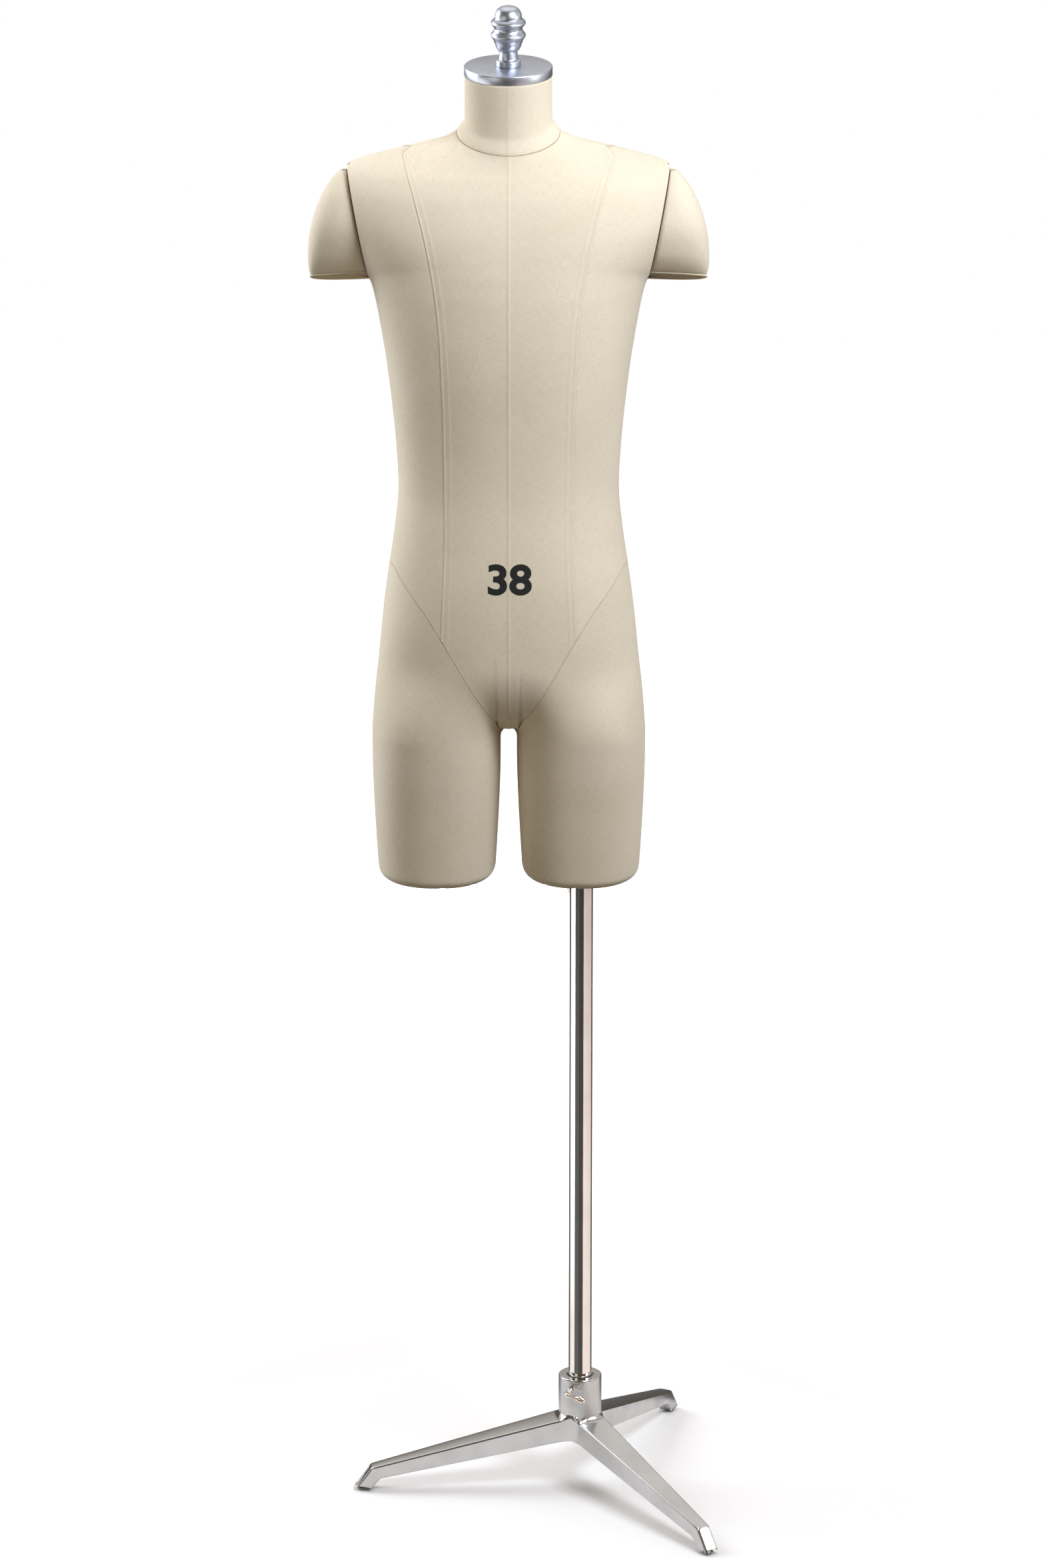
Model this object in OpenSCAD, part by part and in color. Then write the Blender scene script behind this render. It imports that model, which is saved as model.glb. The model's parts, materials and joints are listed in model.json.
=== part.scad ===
// Half-body dress form with collapsible shoulders on a telescopic pole and a cast tripod base.
// Millimetres, +Z up, +Y towards the form's back, floor at z = 0.

/* [Linen form] */
// Height of the crotch above the floor
crotch_z = 985; // [960:1:1010]
// Height of the underside of the half legs
leg_bottom_z = 801; // [800:0.5:802]
// Height of the neck seam at the shoulder point
neck_seam_z = 1709; // [1706:1:1712]
// Height of the middle of the neck's top face
neck_top_z = 1778.5; // [1770:0.5:1786]
// Thickness of the linen and its padding
cover_t = 1.4; // [1:0.1:1.4]
// Thickness of the moulded shells under the linen
shell_t = 5.5; // [4:0.5:6]
// Forward lean of the neck and its cap, in degrees
neck_lean = 6.1; // [5.5:0.1:6.5]

/* [Collapsible shoulders] */
// Slope of the armhole plane from the vertical, in degrees
armhole_slope = 11; // [10:0.5:12]
// Slit between the armhole and the arm stub at rest
armhole_gap = 3; // [2.5:0.1:4]
// How far the arm stub stands inside the armhole's outline
arm_inset = 4.6; // [4.4:0.1:6]
// Inward travel of each arm stub
arm_travel = 38; // [30:1:38]
// Diameter of the stub's guide rods
guide_rod_d = 10; // [8:0.5:10]

/* [Pole] */
// Sideways distance from the middle of the form to the pole
pole_offset = 88.5; // [86:0.5:92]
// Outer diameter of the lower pole
pole_d = 28.6; // [28:0.1:29]
// Outer diameter of the upper pole
upper_pole_d = 22.2; // [21:0.1:22.4]
// Wall of both poles
pole_wall = 1.6; // [1.2:0.1:1.8]
// Height travel of the form
height_travel = 300; // [200:10:320]

/* [Base] */
// Radius from the pole to the tip of each foot
foot_reach = 284.5; // [270:1:300]
// Height of the hub's top rim
hub_top_z = 146; // [140:1:150]
// Outer diameter of the hub
hub_d = 53.5; // [51:0.5:55]
// Width of a leg where it meets the hub
leg_root_w = 40; // [36:1:42]
// Width of a leg at its foot
leg_foot_w = 19; // [17:1:21]
// Direction of the first leg, in degrees from +X
first_leg_angle = 184.5; // [180:0.5:188]

/* [Neck cap and finial] */
// Diameter of the neck cap
cap_d = 104; // [103:0.5:108]
// Thickness of the neck cap
cap_t = 11.2; // [10:0.2:13]
// Height of the finial above the cap
finial_h = 71.5; // [68:0.5:76]

/* [Hidden] */
$fn = 64;

LINEN = [0.86, 0.83, 0.74];
LINEN_DARK = [0.60, 0.52, 0.38];
SHELL = [0.72, 0.66, 0.55];
WOOD = [0.76, 0.60, 0.40];
CHROME = [0.80, 0.80, 0.82];
NICKEL = [0.82, 0.78, 0.72];
CAST = [0.70, 0.71, 0.73];
SATIN = [0.66, 0.70, 0.76];
NYLON = [0.15, 0.15, 0.16];

// ---- places -------------------------------------------------------------------------------
LEG_ANGLES = [for (i = [0 : 2]) first_leg_angle + i * 120];
arm_reach = 238;
foot_low_x = -pole_offset - arm_reach;
foot_high_x = foot_reach * cos(LEG_ANGLES[1]) - sin(LEG_ANGLES[1]) * leg_foot_w / 2;
foot_low_y = foot_reach * sin(LEG_ANGLES[1]) - cos(LEG_ANGLES[1]) * leg_foot_w / 2;
foot_high_y = foot_reach * sin(LEG_ANGLES[2]) + cos(LEG_ANGLES[2]) * leg_foot_w / 2;
// The pole's axis, so that the origin is under the middle of the whole object
pole_x = -(foot_low_x + foot_high_x) / 2;
pole_y = -(foot_low_y + foot_high_y) / 2;
form_x = pole_x - pole_offset;
form_y = pole_y;

fit = 0.05;          // radial running clearance
skin_gap = 0.1;      // between a shell and its linen
shell_out = cover_t + skin_gap;
shell_in = shell_out + shell_t;

// ---- the torso's shape ----------------------------------------------------------------------
// [height, half width, front depth, back depth, squareness, fall towards the back, fall over the back]
BODY = [
    [crotch_z, 165, 108, 128, 2.4, 0, 0],
    [1030, 161.5, 114, 135, 2.4, 0, 0],
    [1080, 156, 118, 136, 2.4, 0, 0],
    [1130, 151, 120, 127, 2.4, 0, 0],
    [1180, 144.5, 119, 113, 2.4, 0, 0],
    [1230, 137, 115, 102, 2.4, 0, 0],
    [1280, 132, 111, 97, 2.4, 0, 0],
    [1330, 134, 112, 100, 2.4, 0, 0],
    [1380, 138.5, 116, 108, 2.4, 0, 0],
    [1430, 144.5, 121, 115, 2.4, 0, 0],
    [1480, 152, 124, 121, 2.45, 0.1, 0.1],
    [1530, 162.5, 124, 123, 2.5, 0.28, 0.28],
    [1540, 169.5, 123, 123, 2.5, 0.29, 0.29],
    [1560, 180, 121, 122, 2.5, 0.28, 0.28],
    [1600, 195, 113, 118, 2.4, 0.15, 0.15],
    [1640, 201, 97, 108, 2.25, 0, 0],
    [1664, 197, 81, 98, 2.1, -0.1, 0],
    [1676, 182, 71, 88, 2.0, -0.15, 0],
    [1690, 131, 61, 76, 1.9, -0.24, 0],
    [1701, 82, 57, 64, 1.9, -0.29, -0.02],
    [neck_seam_z, 60.5, 54.5, 58, 2.0, -0.3, -0.2]
];
BODY_RINGS = concat(
    [for (up = [0, 8, 22, 42, 66, 92]) crotch_z + up],
    [1110, 1150, 1190, 1230, 1270, 1310, 1350, 1390, 1430, 1465, 1495, 1518, 1530, 1537,
     1552, 1572, 1593, 1614, 1634, 1650, 1663, 1673, 1681, 1689, 1697, 1704, neck_seam_z]);
CORE_RINGS = [1003, 1040, 1080, 1130, 1190, 1250, 1310, 1370, 1430, 1490, 1530, 1560, 1600, 1640, 1664,
              1680, 1692, 1702, neck_seam_z];
// Places across half a section, as angles of a superellipse, close together at the middle and the side
FINE = [0, 3, 9, 18, 28, 39, 50, 60, 69, 77, 84, 90];
COARSE = [0, 4, 12, 25, 42, 58, 72, 83, 90];

// [height, half width, front depth, back depth]
THIGH = [
    [leg_bottom_z, 70.5, 84, 88],
    [850, 73.5, 90, 95],
    [900, 76, 96, 104],
    [940, 77.3, 102, 114],
    [crotch_z, 77.5, 108, 128]
];
thigh_x = 87.5;
thigh_n = 2.3;
thigh_round = 11;
leg_gap = 10;        // half the gap between the thighs at the crotch
lobe_h = 100;        // height over which the two thighs grow into one torso
seam_edge = 1.5;     // least half thickness of a section

function clamp(v, a, b) = min(max(v, a), b);
function row(t, z, i = 0) = (i >= len(t) - 2 || z < t[i + 1][0]) ? i : row(t, z, i + 1);
function slope(t, i, c) =
    let (a = max(i - 1, 0), b = min(i + 1, len(t) - 1)) (t[b][c] - t[a][c]) / (t[b][0] - t[a][0]);
// Smooth value of column c of table t at height z
function at(t, z, c) =
    let (i = row(t, z), h = t[i + 1][0] - t[i][0], u = clamp((z - t[i][0]) / h, 0, 1),
         p = t[i][c], q = t[i + 1][c], m = slope(t, i, c) * h, k = slope(t, i + 1, c) * h)
    (2 * p - 2 * q + m + k) * u * u * u + (3 * q - 3 * p - 2 * m - k) * u * u + m * u + p;
// The larger of two values, rounded where they differ by less than k
function smooth_max(a, b, k) = let (h = max(k - abs(a - b), 0) / k) max(a, b) + h * h * k / 4;
function super(x, n) = pow(1 - pow(min(1, abs(x)), n), 1 / n);
// Sideways place of the armhole's plane at height z
function armhole_x(z) = 166 + (z - 1544) * tan(armhole_slope);
// The same as a limit to the section that starts at height zk: none below the armhole
armhole_low = 1534;
function side_limit(zk, z) = zk < armhole_low ? 1000 : armhole_x(z);

// Depth of the body at height z and place x, inset by d, on side -1 (front) or 1 (back)
function depth(side, z, x, half, n, d) =
    let (full = at(BODY, z, side < 0 ? 2 : 3) - d,
         s = clamp((z - crotch_z) / lobe_h, 0, 1),
         body = super(x / half, n),
         lobe = super((abs(x) - thigh_x) / (thigh_x - leg_gap - d), thigh_n),
         thigh = lobe + (body - lobe) * s * s * (3 - 2 * s),
         saddle = body * sqrt(1 - (1 - s) * (1 - s)))
    max(seam_edge / (1 + d), full * smooth_max(thigh, saddle, 0.12 * (1 - s) + 0.001));
// Share of an inset that lowers the surface: all of it on top of the shoulders
function lowering(z) = clamp((z - 1560) / 120, 0, 1);
function body_point(zk, q, side, d) =
    let (half = at(BODY, zk, 1) - d, n = at(BODY, zk, 4), t = at(BODY, zk, side < 0 ? 5 : 6),
         x0 = q * min(half, side_limit(zk, zk) - d), y0 = side * depth(side, zk, x0, half, n, d),
         z1 = zk - t * y0,
         x1 = q * min(half, side_limit(zk, z1) - d), y1 = side * depth(side, z1, x1, half, n, d))
    [x1, y1, zk - t * y1 - d * lowering(zk)];
function fractions(angles) = let (m = len(angles) - 1)
    concat([for (i = [m : -1 : 1]) -pow(sin(angles[i]), 0.8)], [for (a = angles) pow(sin(a), 0.8)]);
function body_ring(zk, d, angles = FINE) = let (f = fractions(angles), m = len(f) - 1)
    concat([for (i = [0 : m]) body_point(zk, f[i], -1, d)],
           [for (i = [m : -1 : 0]) body_point(zk, f[i], 1, d)]);

function thigh_round_in(z) = let (h = clamp(thigh_round - (z - leg_bottom_z), 0, thigh_round))
    thigh_round - sqrt(max(0, thigh_round * thigh_round - h * h));
function signed_pow(v, e) = sign(v) * pow(abs(v), e);
function thigh_ring(z, d, steps = 32) =
    let (in = d + thigh_round_in(z), half = at(THIGH, z, 1) - in, e = 2 / thigh_n)
    [for (i = [0 : steps - 1]) let (a = 360 * i / steps)
        [thigh_x + half * signed_pow(cos(a), e),
         (at(THIGH, z, sin(a) < 0 ? 2 : 3) - in) * signed_pow(sin(a), e), z]];

function raised(ring, dz) = [for (p = ring) [p[0], p[1], p[2] + dz]];
function flat(ring) = [for (p = ring) [p[0], p[1]]];

// A closed solid through rings of the same number of points, each anticlockwise from above
module loft(rings) {
    m = len(rings[0]);
    last = len(rings) - 1;
    polyhedron(
        points = [for (r = rings) for (p = r) p],
        faces = concat(
            [[for (i = [0 : m - 1]) i]],
            [[for (i = [m - 1 : -1 : 0]) last * m + i]],
            [for (k = [0 : last - 1]) for (i = [0 : m - 1])
                let (j = (i + 1) % m) [k * m + i, (k + 1) * m + i, (k + 1) * m + j]],
            [for (k = [0 : last - 1]) for (i = [0 : m - 1])
                let (j = (i + 1) % m) [k * m + i, (k + 1) * m + j, k * m + j]]),
        convexity = 10);
}

// Evaluates booleans of lofts as one mesh
module as_mesh() { resize([0, 0, 0]) children(); }
module on_form() { translate([form_x, form_y, 0]) children(); }
module side_of(s) { on_form() mirror([s < 0 ? 1 : 0, 0, 0]) children(); }
module on_pole() { translate([pole_x, pole_y, 0]) children(); }

// ---- torso and thighs -------------------------------------------------------------------------
module body_solid(d) {
    loft([for (z = BODY_RINGS) body_ring(z, d)]);
}
// The hollow of the body, inset by d, from height low, with its top open past the neck seam
module body_hollow(d, rings, angles) {
    loft(concat([for (z = rings) body_ring(z, d, angles)], [raised(body_ring(neck_seam_z, d, angles), 10)]));
}

// The outline of the armhole's flat, inset by e, as places [along the slope, y] in the armhole frame
arm_z = 1604;
HOLE_RINGS = [1535.2, 1538, 1541, 1546, 1552, 1561, 1572, 1584, 1598, 1612, 1626, 1638, 1648, 1657, 1664,
              1669];
function armhole_edge(zk, side, e) = let (p = body_point(zk, 1, side, 0))
    [(p[2] - arm_z) / cos(armhole_slope), side * max(1, abs(p[1]) - e)];
module armhole_prism(e, low, high) {
    m = len(HOLE_RINGS) - 1;
    squeeze = function (v) v > 0 ? v - e * clamp(v / 40, 0, 1) : v + e * clamp(-v / 40, 0, 1);
    outline = concat([for (z = HOLE_RINGS) armhole_edge(z, -1, e)],
                     [for (i = [m : -1 : 0]) armhole_edge(HOLE_RINGS[i], 1, e)]);
    arm_frame() translate([0, 0, low]) linear_extrude(high - low)
        polygon([for (p = outline) [-squeeze(p[0]), p[1]]]);
}
// Local +Z is the armhole's outward normal, local +X points down the slope
module arm_frame() { translate([armhole_x(arm_z), 0, arm_z]) rotate([0, 90 + armhole_slope, 0]) children(); }

module torso_cover() {
    color(LINEN) on_form() as_mesh() difference() {
        body_solid(0);
        body_hollow(cover_t, BODY_RINGS, FINE);
        translate([0, 0, -30]) loft([body_ring(crotch_z, cover_t), raised(body_ring(crotch_z, cover_t), 31)]);
        for (s = [0, 1]) mirror([s, 0, 0]) armhole_prism(1.6, -20, 20);
    }
}
module torso_shell() {
    color(SHELL) on_form() as_mesh() difference() {
        body_solid(shell_out);
        body_hollow(shell_in, CORE_RINGS, COARSE);
        for (s = [0, 1]) mirror([s, 0, 0])
            // The armhole and the room that the arm stub sweeps behind it
            armhole_prism(2.4, -arm_travel - 12, 20);
        translate([pole_offset, 0, 950]) cylinder(d = upper_pole_d + 10, h = 100, $fn = 32);
    }
}
thigh_rings = [leg_bottom_z, leg_bottom_z + 0.8, leg_bottom_z + 3, leg_bottom_z + 6, leg_bottom_z + 11,
               840, 875, 910, 950, crotch_z];
module thigh_solid(d, top_up, steps = 32) {
    low = [for (z = thigh_rings) z < crotch_z ? raised(thigh_ring(z, d, steps), max(0, d * (1 -
        (z - leg_bottom_z) / thigh_round))) : thigh_ring(z, d, steps)];
    loft(top_up > 0 ? concat(low, [raised(thigh_ring(crotch_z, d, steps), top_up)]) : low);
}
module thigh_shell(bored) {
    color(SHELL) as_mesh() difference() {
        thigh_solid(shell_out, 0);
        thigh_solid(shell_in, 5, 24);
        if (bored) translate([pole_offset, 0, 790]) cylinder(d = upper_pole_d + 4, h = 40, $fn = 32);
    }
}
module thigh_cover(bored) {
    color(LINEN) as_mesh() difference() {
        thigh_solid(0, 0);
        thigh_solid(cover_t, 5);
        if (bored) translate([pole_offset, 0, 790]) cylinder(d = upper_pole_d + 5, h = 40, $fn = 32);
    }
}
leg_board_z = leg_bottom_z + shell_in + 3;
leg_board_t = 12;
module leg_board(bored) {
    color(WOOD) translate([0, 0, leg_board_z]) linear_extrude(leg_board_t) difference() {
        polygon(flat(thigh_ring(leg_board_z, shell_in + 2.5, 24)));
        if (bored) translate([pole_offset, 0]) circle(d = socket_d + 2 * fit);
    }
}
module left_thigh_shell() { side_of(-1) thigh_shell(false); }
module right_thigh_shell() { side_of(1) thigh_shell(true); }
module left_thigh_cover() { side_of(-1) thigh_cover(false); }
module right_thigh_cover() { side_of(1) thigh_cover(true); }
module left_leg_board() { side_of(-1) leg_board(false); }
module right_leg_board() { side_of(1) leg_board(true); }

// ---- inside the torso ---------------------------------------------------------------------------
board_z = 1003;
board_t = 18;
socket_d = 28;
flange_d = 74;
flange_t = 4;
post_w = 26;
beam_low_z = 1590;
beam_high_z = 1632;
block_in = -78;
block_out = -48;
block_w = 84;
block_h = 34;
rod_y = 29;

module pelvis_board() {
    color(WOOD) on_form() translate([0, 0, board_z]) linear_extrude(board_t) difference() {
        polygon(flat(body_ring(board_z, shell_in + 6, COARSE)));
        translate([pole_offset, 0]) circle(d = socket_d + 2 * fit);
        for (a = [45 : 90 : 315]) translate([pole_offset, 0]) rotate(a) translate([27, 0]) circle(d = 4);
    }
}
module socket_tube() {
    color(CHROME) on_pole() translate([0, 0, leg_board_z]) difference() {
        cylinder(d = socket_d, h = board_z + board_t - leg_board_z);
        translate([0, 0, -1]) cylinder(d = upper_pole_d + 2 * fit, h = 400);
    }
}
module socket_flange() {
    color(CHROME) on_pole() translate([0, 0, board_z + board_t]) difference() {
        cylinder(d = flange_d, h = flange_t);
        for (a = [45 : 90 : 315]) rotate(a) translate([27, 0, -1]) cylinder(d = 4.4, h = 10);
    }
}
module socket_screws() {
    color(NICKEL) on_pole() for (a = [45 : 90 : 315]) rotate(a) translate([27, 0, board_z + 2]) {
        cylinder(d = 3.9, h = board_t + flange_t - 2);
        translate([0, 0, board_t + flange_t - 2]) cylinder(d = 8, h = 2.6);
    }
}
module spine_post() {
    color(WOOD) on_form() translate([-post_w / 2, -post_w / 2, board_z + board_t])
        cube([post_w, post_w, beam_low_z - board_z - board_t]);
}
// Inner face of the guide block at height z
function block_face_x(z) = armhole_x(z) + (block_in - fit) / cos(armhole_slope);
module shoulder_beam() {
    low = block_face_x(beam_low_z);
    high = block_face_x(beam_high_z);
    color(WOOD) on_form() rotate([90, 0, 0]) linear_extrude(20, center = true)
        polygon([[-low, beam_low_z], [low, beam_low_z], [high, beam_high_z], [-high, beam_high_z]]);
}
module guide_block() {
    color(NYLON) arm_frame() translate([0, 0, block_in]) difference() {
        translate([-block_h / 2, -block_w / 2, 0]) cube([block_h, block_w, block_out - block_in]);
        for (y = [-rod_y, rod_y]) translate([0, y, -1]) cylinder(d = guide_rod_d + 2 * fit, h = 60);
    }
}
module left_guide_block() { side_of(-1) guide_block(); }
module right_guide_block() { side_of(1) guide_block(); }

// ---- arm stubs --------------------------------------------------------------------------------------
// [height, outer reach]
ARM = [
    [1540, 235], [1550, 237.4], [1566, 238], [1584, 236.6], [1600, 233.6], [1616, 229],
    [1632, 222.4], [1646, 214.4], [1658, 205.2], [1667, 195.5]
];
ARM_RINGS = [1540, 1547, 1558, 1571, 1585, 1600, 1615, 1630, 1642, 1652, 1658, 1662.5];
arm_n = 2.5;
arm_fall = 0.31;     // backward fall of the underside
arm_drop = 0.045;    // outward fall of the underside
arm_steps = 18;
arm_in = shell_out + 3.5;
// Height of the armhole that gives a stub its depth, so that it stands inside at the top and the bottom too
function arm_level(zk) = zk + arm_inset * clamp((zk - arm_z) / 40, -0.4, 1.25);
function arm_fade(zk) = clamp(1 - (zk - ARM_RINGS[0]) / 110, 0, 1);
// A stub's section at height zk, inset by d
function arm_ring(zk, d) =
    let (level = arm_level(zk),
         front = abs(body_point(level, 1, -1, 0)[1]) - arm_inset - d,
         back = abs(body_point(level, 1, 1, 0)[1]) - arm_inset - d,
         reach = max(2, at(ARM, zk, 1) - d - armhole_x(zk) - armhole_gap), f = arm_fade(zk))
    [for (i = [0 : arm_steps]) let (a = 180 * i / arm_steps, e = 2 / arm_n,
            out = reach * pow(max(0, sin(a)), e), c = cos(a),
            y = c > 0 ? -max(0.6, front) * pow(c, e) : max(0.6, back) * pow(-c, e),
            z = zk - f * (arm_fall * y + arm_drop * out))
        [armhole_x(z) + armhole_gap + out, y, z]];
// The same with its open side moved in by extra
function arm_ring_past(ring, extra) =
    concat([ring[0] - [extra, 0, 0]], ring, [ring[arm_steps] - [extra, 0, 0]]);
module arm_solid(d, extra = 0, down = 0) {
    last = len(ARM_RINGS) - 1;
    rings = [for (i = [0 : last])
        raised(arm_ring(ARM_RINGS[i], d), i == 0 ? (down > 0 ? -down : d) : -d * i / last)];
    loft(extra > 0 ? [for (r = rings) arm_ring_past(r, extra)] : rings);
}
module arm_cover() {
    color(LINEN) as_mesh() difference() {
        arm_solid(0);
        arm_solid(cover_t, 8, 8);
    }
}
module arm_shell() {
    color(SHELL) as_mesh() difference() {
        arm_solid(shell_out);
        arm_solid(arm_in, 8);
    }
}
module arm_underside() {
    sole = arm_ring(ARM_RINGS[0], shell_out);
    color(LINEN_DARK) loft([raised(sole, 0.1), raised(sole, 1.3)]);
}
arm_board_t = 8;
// The board that closes a stub's open side and holds its guide rods
module arm_board() {
    color(WOOD) difference() {
        as_mesh() intersection() {
            arm_solid(arm_in + 0.3, 8);
            arm_frame() translate([-90, -120, armhole_gap + 0.1]) cube([180, 240, arm_board_t]);
        }
        arm_frame() for (y = [-rod_y, rod_y]) translate([0, y, -1]) cylinder(d = guide_rod_d, h = 40);
    }
}
rod_low = -83;
module guide_rods() {
    color(CHROME) arm_frame() for (y = [-rod_y, rod_y]) translate([0, y, rod_low]) difference() {
        cylinder(d = guide_rod_d, h = armhole_gap + arm_board_t - rod_low);
        translate([0, 0, block_in - rod_low - 2.2]) difference() {
            cylinder(d = guide_rod_d + 2, h = 1.2);
            translate([0, 0, -1]) cylinder(d = guide_rod_d - 2, h = 4);
        }
    }
}
module rod_clips() {
    color(NICKEL) arm_frame() for (y = [-rod_y, rod_y]) translate([0, y, block_in - 2.1]) difference() {
        cylinder(d = guide_rod_d + 5, h = 1);
        translate([0, 0, -1]) cylinder(d = guide_rod_d - 1.9, h = 4);
    }
}
module shoulder_springs() {
    color(NICKEL) arm_frame() for (y = [-rod_y, rod_y]) translate([0, y, block_out]) difference() {
        cylinder(d = guide_rod_d + 5, h = armhole_gap - block_out);
        translate([0, 0, -1]) cylinder(d = guide_rod_d + 1.2, h = 80);
    }
}
module left_arm_shell() { side_of(-1) arm_shell(); }
module right_arm_shell() { side_of(1) arm_shell(); }
module left_arm_cover() { side_of(-1) arm_cover(); }
module right_arm_cover() { side_of(1) arm_cover(); }
module left_arm_underside() { side_of(-1) arm_underside(); }
module right_arm_underside() { side_of(1) arm_underside(); }
module left_arm_board() { side_of(-1) arm_board(); }
module right_arm_board() { side_of(1) arm_board(); }
module left_guide_rods() { side_of(-1) guide_rods(); }
module right_guide_rods() { side_of(1) guide_rods(); }
module left_rod_clips() { side_of(-1) rod_clips(); }
module right_rod_clips() { side_of(1) rod_clips(); }
module left_shoulder_springs() { side_of(-1) shoulder_springs(); }
module right_shoulder_springs() { side_of(1) shoulder_springs(); }

// ---- neck, cap and finial ---------------------------------------------------------------------------
neck_r = 51.5;
neck_shift = 7;      // how far forward the middle of the neck's top stands
// [share of the way up, radius]
NECK = [[0, 60.5], [0.05, 56.5], [0.1, 54], [0.2, 52.2], [0.35, 51.6], [1, 51.4]];
module neck_frame() { translate([0, -neck_shift, neck_top_z]) rotate([neck_lean, 0, 0]) children(); }
// A section of the neck: the shoulder seam at the bottom turns into a round, leaning top
function neck_ring(row, d) =
    let (u = row[0], w = clamp(u / 0.2, 0, 1), r = row[1] - d, seam = raised(body_ring(neck_seam_z, d), 0.2))
    [for (p = seam) let (a = atan2(p[1], p[0]), top_y = r * sin(a))
        [(1 - w) * p[0] + w * r * cos(a),
         (1 - w) * p[1] + w * (top_y * (u * cos(neck_lean) + 1 - u)) - u * neck_shift,
         (1 - u) * p[2] + u * (neck_top_z + top_y * sin(neck_lean))]];
module neck_solid(d, up = 0, down = 0) {
    rings = [for (r = NECK) neck_ring(r, d)];
    low = down > 0 ? [raised(rings[0], -down)] : [];
    high = up > 0 ? [raised(rings[len(rings) - 1], up)] : [];
    loft(concat(low, rings, high));
}
module neck_cover() {
    color(LINEN) on_form() as_mesh() difference() {
        neck_solid(0);
        neck_solid(cover_t, 5, 5);
    }
}
module neck_shell() {
    color(SHELL) on_form() as_mesh() difference() {
        neck_solid(shell_out);
        neck_solid(shell_in, 5, 5);
    }
}
neck_block_t = 36;
neck_rod_d = 10;
module neck_block() {
    color(WOOD) on_form() neck_frame() translate([0, 0, -neck_block_t]) difference() {
        cylinder(r = neck_r - shell_in - 1.2, h = neck_block_t - 0.1);
        translate([0, 0, -1]) cylinder(d = neck_rod_d + 2 * fit, h = 100);
    }
}
module neck_rod() {
    color(NICKEL) on_form() neck_frame() translate([0, 0, -neck_block_t - 14])
        cylinder(d = neck_rod_d, h = neck_block_t + 14 + cap_t + 22);
}
module neck_rod_nut() {
    color(NICKEL) on_form() neck_frame() translate([0, 0, -neck_block_t - 8]) difference() {
        cylinder(d = 19, h = 8, $fn = 6);
        translate([0, 0, -1]) cylinder(d = neck_rod_d + 2 * fit, h = 20);
    }
}
module neck_cap() {
    r = cap_d / 2;
    color(SATIN) on_form() neck_frame() rotate_extrude($fn = 96) polygon([
        [neck_rod_d / 2 + fit, 0.1], [r - 0.8, 0.1], [r, 0.9], [r, cap_t - 1], [r - 1, cap_t],
        [neck_rod_d / 2 + fit, cap_t]]);
}
// [radius, height above the cap] up the finial
FINIAL = [
    [14.5, 0], [14.8, 1.4], [14.8, 4], [13.2, 6], [11.4, 7.6], [11, 9], [11, 18], [11.3, 20], [13, 24],
    [15, 28.5], [16, 30.5], [18.5, 33], [20.2, 35.6], [20.5, 37.5], [19.6, 39.6], [17.4, 42.2],
    [16.8, 44.4], [17.6, 46.6], [19.8, 49.4], [20.5, 51.8], [19.9, 54], [17.2, 56.2], [15.7, 57.6],
    [15.6, 60], [14.8, 63.4], [12.8, 67], [9.6, 69.8], [5, 71.2], [0, 71.5]
];
module finial() {
    bore = neck_rod_d / 2 + fit;
    color(SATIN) on_form() neck_frame() translate([0, 0, cap_t + fit]) scale(finial_h / 71.5)
        rotate_extrude($fn = 96) polygon(concat([[0, 24], [bore, 24], [bore, 0]], FINIAL));
}

// ---- poles ----------------------------------------------------------------------------------------------
seat_z = 66;
seat_t = 4;
plug_t = 3;
collar_z = 787;
collar_h = 12;
collar_d = 40;
lower_pole_low = seat_z + seat_t + plug_t;
lower_pole_high = collar_z + collar_h - 2;
pole_in_d = pole_d - 2 * pole_wall;
upper_pole_low = lower_pole_high - height_travel - 80;
upper_pole_high = board_z + board_t;
lock_z = collar_z + collar_h / 2;
base_lock_z = hub_top_z - 13;

module lower_pole() {
    color(CHROME) on_pole() translate([0, 0, lower_pole_low]) difference() {
        cylinder(d = pole_d, h = lower_pole_high - lower_pole_low);
        translate([0, 0, -1]) cylinder(d = pole_in_d, h = 900);
        translate([0, 0, lock_z - lower_pole_low]) lock_axis(pole_lock_angle)
            cylinder(r = lock_r + fit, h = 40);
    }
}
module lower_pole_plug() {
    color(NYLON) on_pole() translate([0, 0, seat_z + seat_t + 0.02]) {
        cylinder(d = pole_d - 0.2, h = plug_t - 0.02);
        translate([0, 0, plug_t - 0.02]) cylinder(d = pole_in_d - 0.1, h = 22);
    }
}
module pole_collar() {
    color(CHROME) on_pole() translate([0, 0, collar_z]) difference() {
        rotate_extrude($fn = 96) polygon([
            [pole_d / 2, 0], [collar_d / 2 - 1, 0], [collar_d / 2, 1], [collar_d / 2, collar_h - 1],
            [collar_d / 2 - 1, collar_h], [upper_pole_d / 2 + 0.4, collar_h],
            [upper_pole_d / 2 + 0.4, collar_h - 2], [pole_d / 2, collar_h - 2]]);
        translate([0, 0, collar_h / 2]) lock_axis(pole_lock_angle) cylinder(r = lock_r + fit, h = 40);
    }
}
module pole_bush() {
    color(NYLON) on_pole() translate([0, 0, lower_pole_high - 48]) difference() {
        cylinder(d = pole_in_d - 0.1, h = 40);
        translate([0, 0, -1]) cylinder(d = upper_pole_d + 2 * fit, h = 60);
    }
}
module upper_pole() {
    color(CHROME) on_pole() translate([0, 0, upper_pole_low]) difference() {
        cylinder(d = upper_pole_d, h = upper_pole_high - upper_pole_low);
        translate([0, 0, -1]) cylinder(d = upper_pole_d - 2 * pole_wall, h = 900);
    }
}
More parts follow.
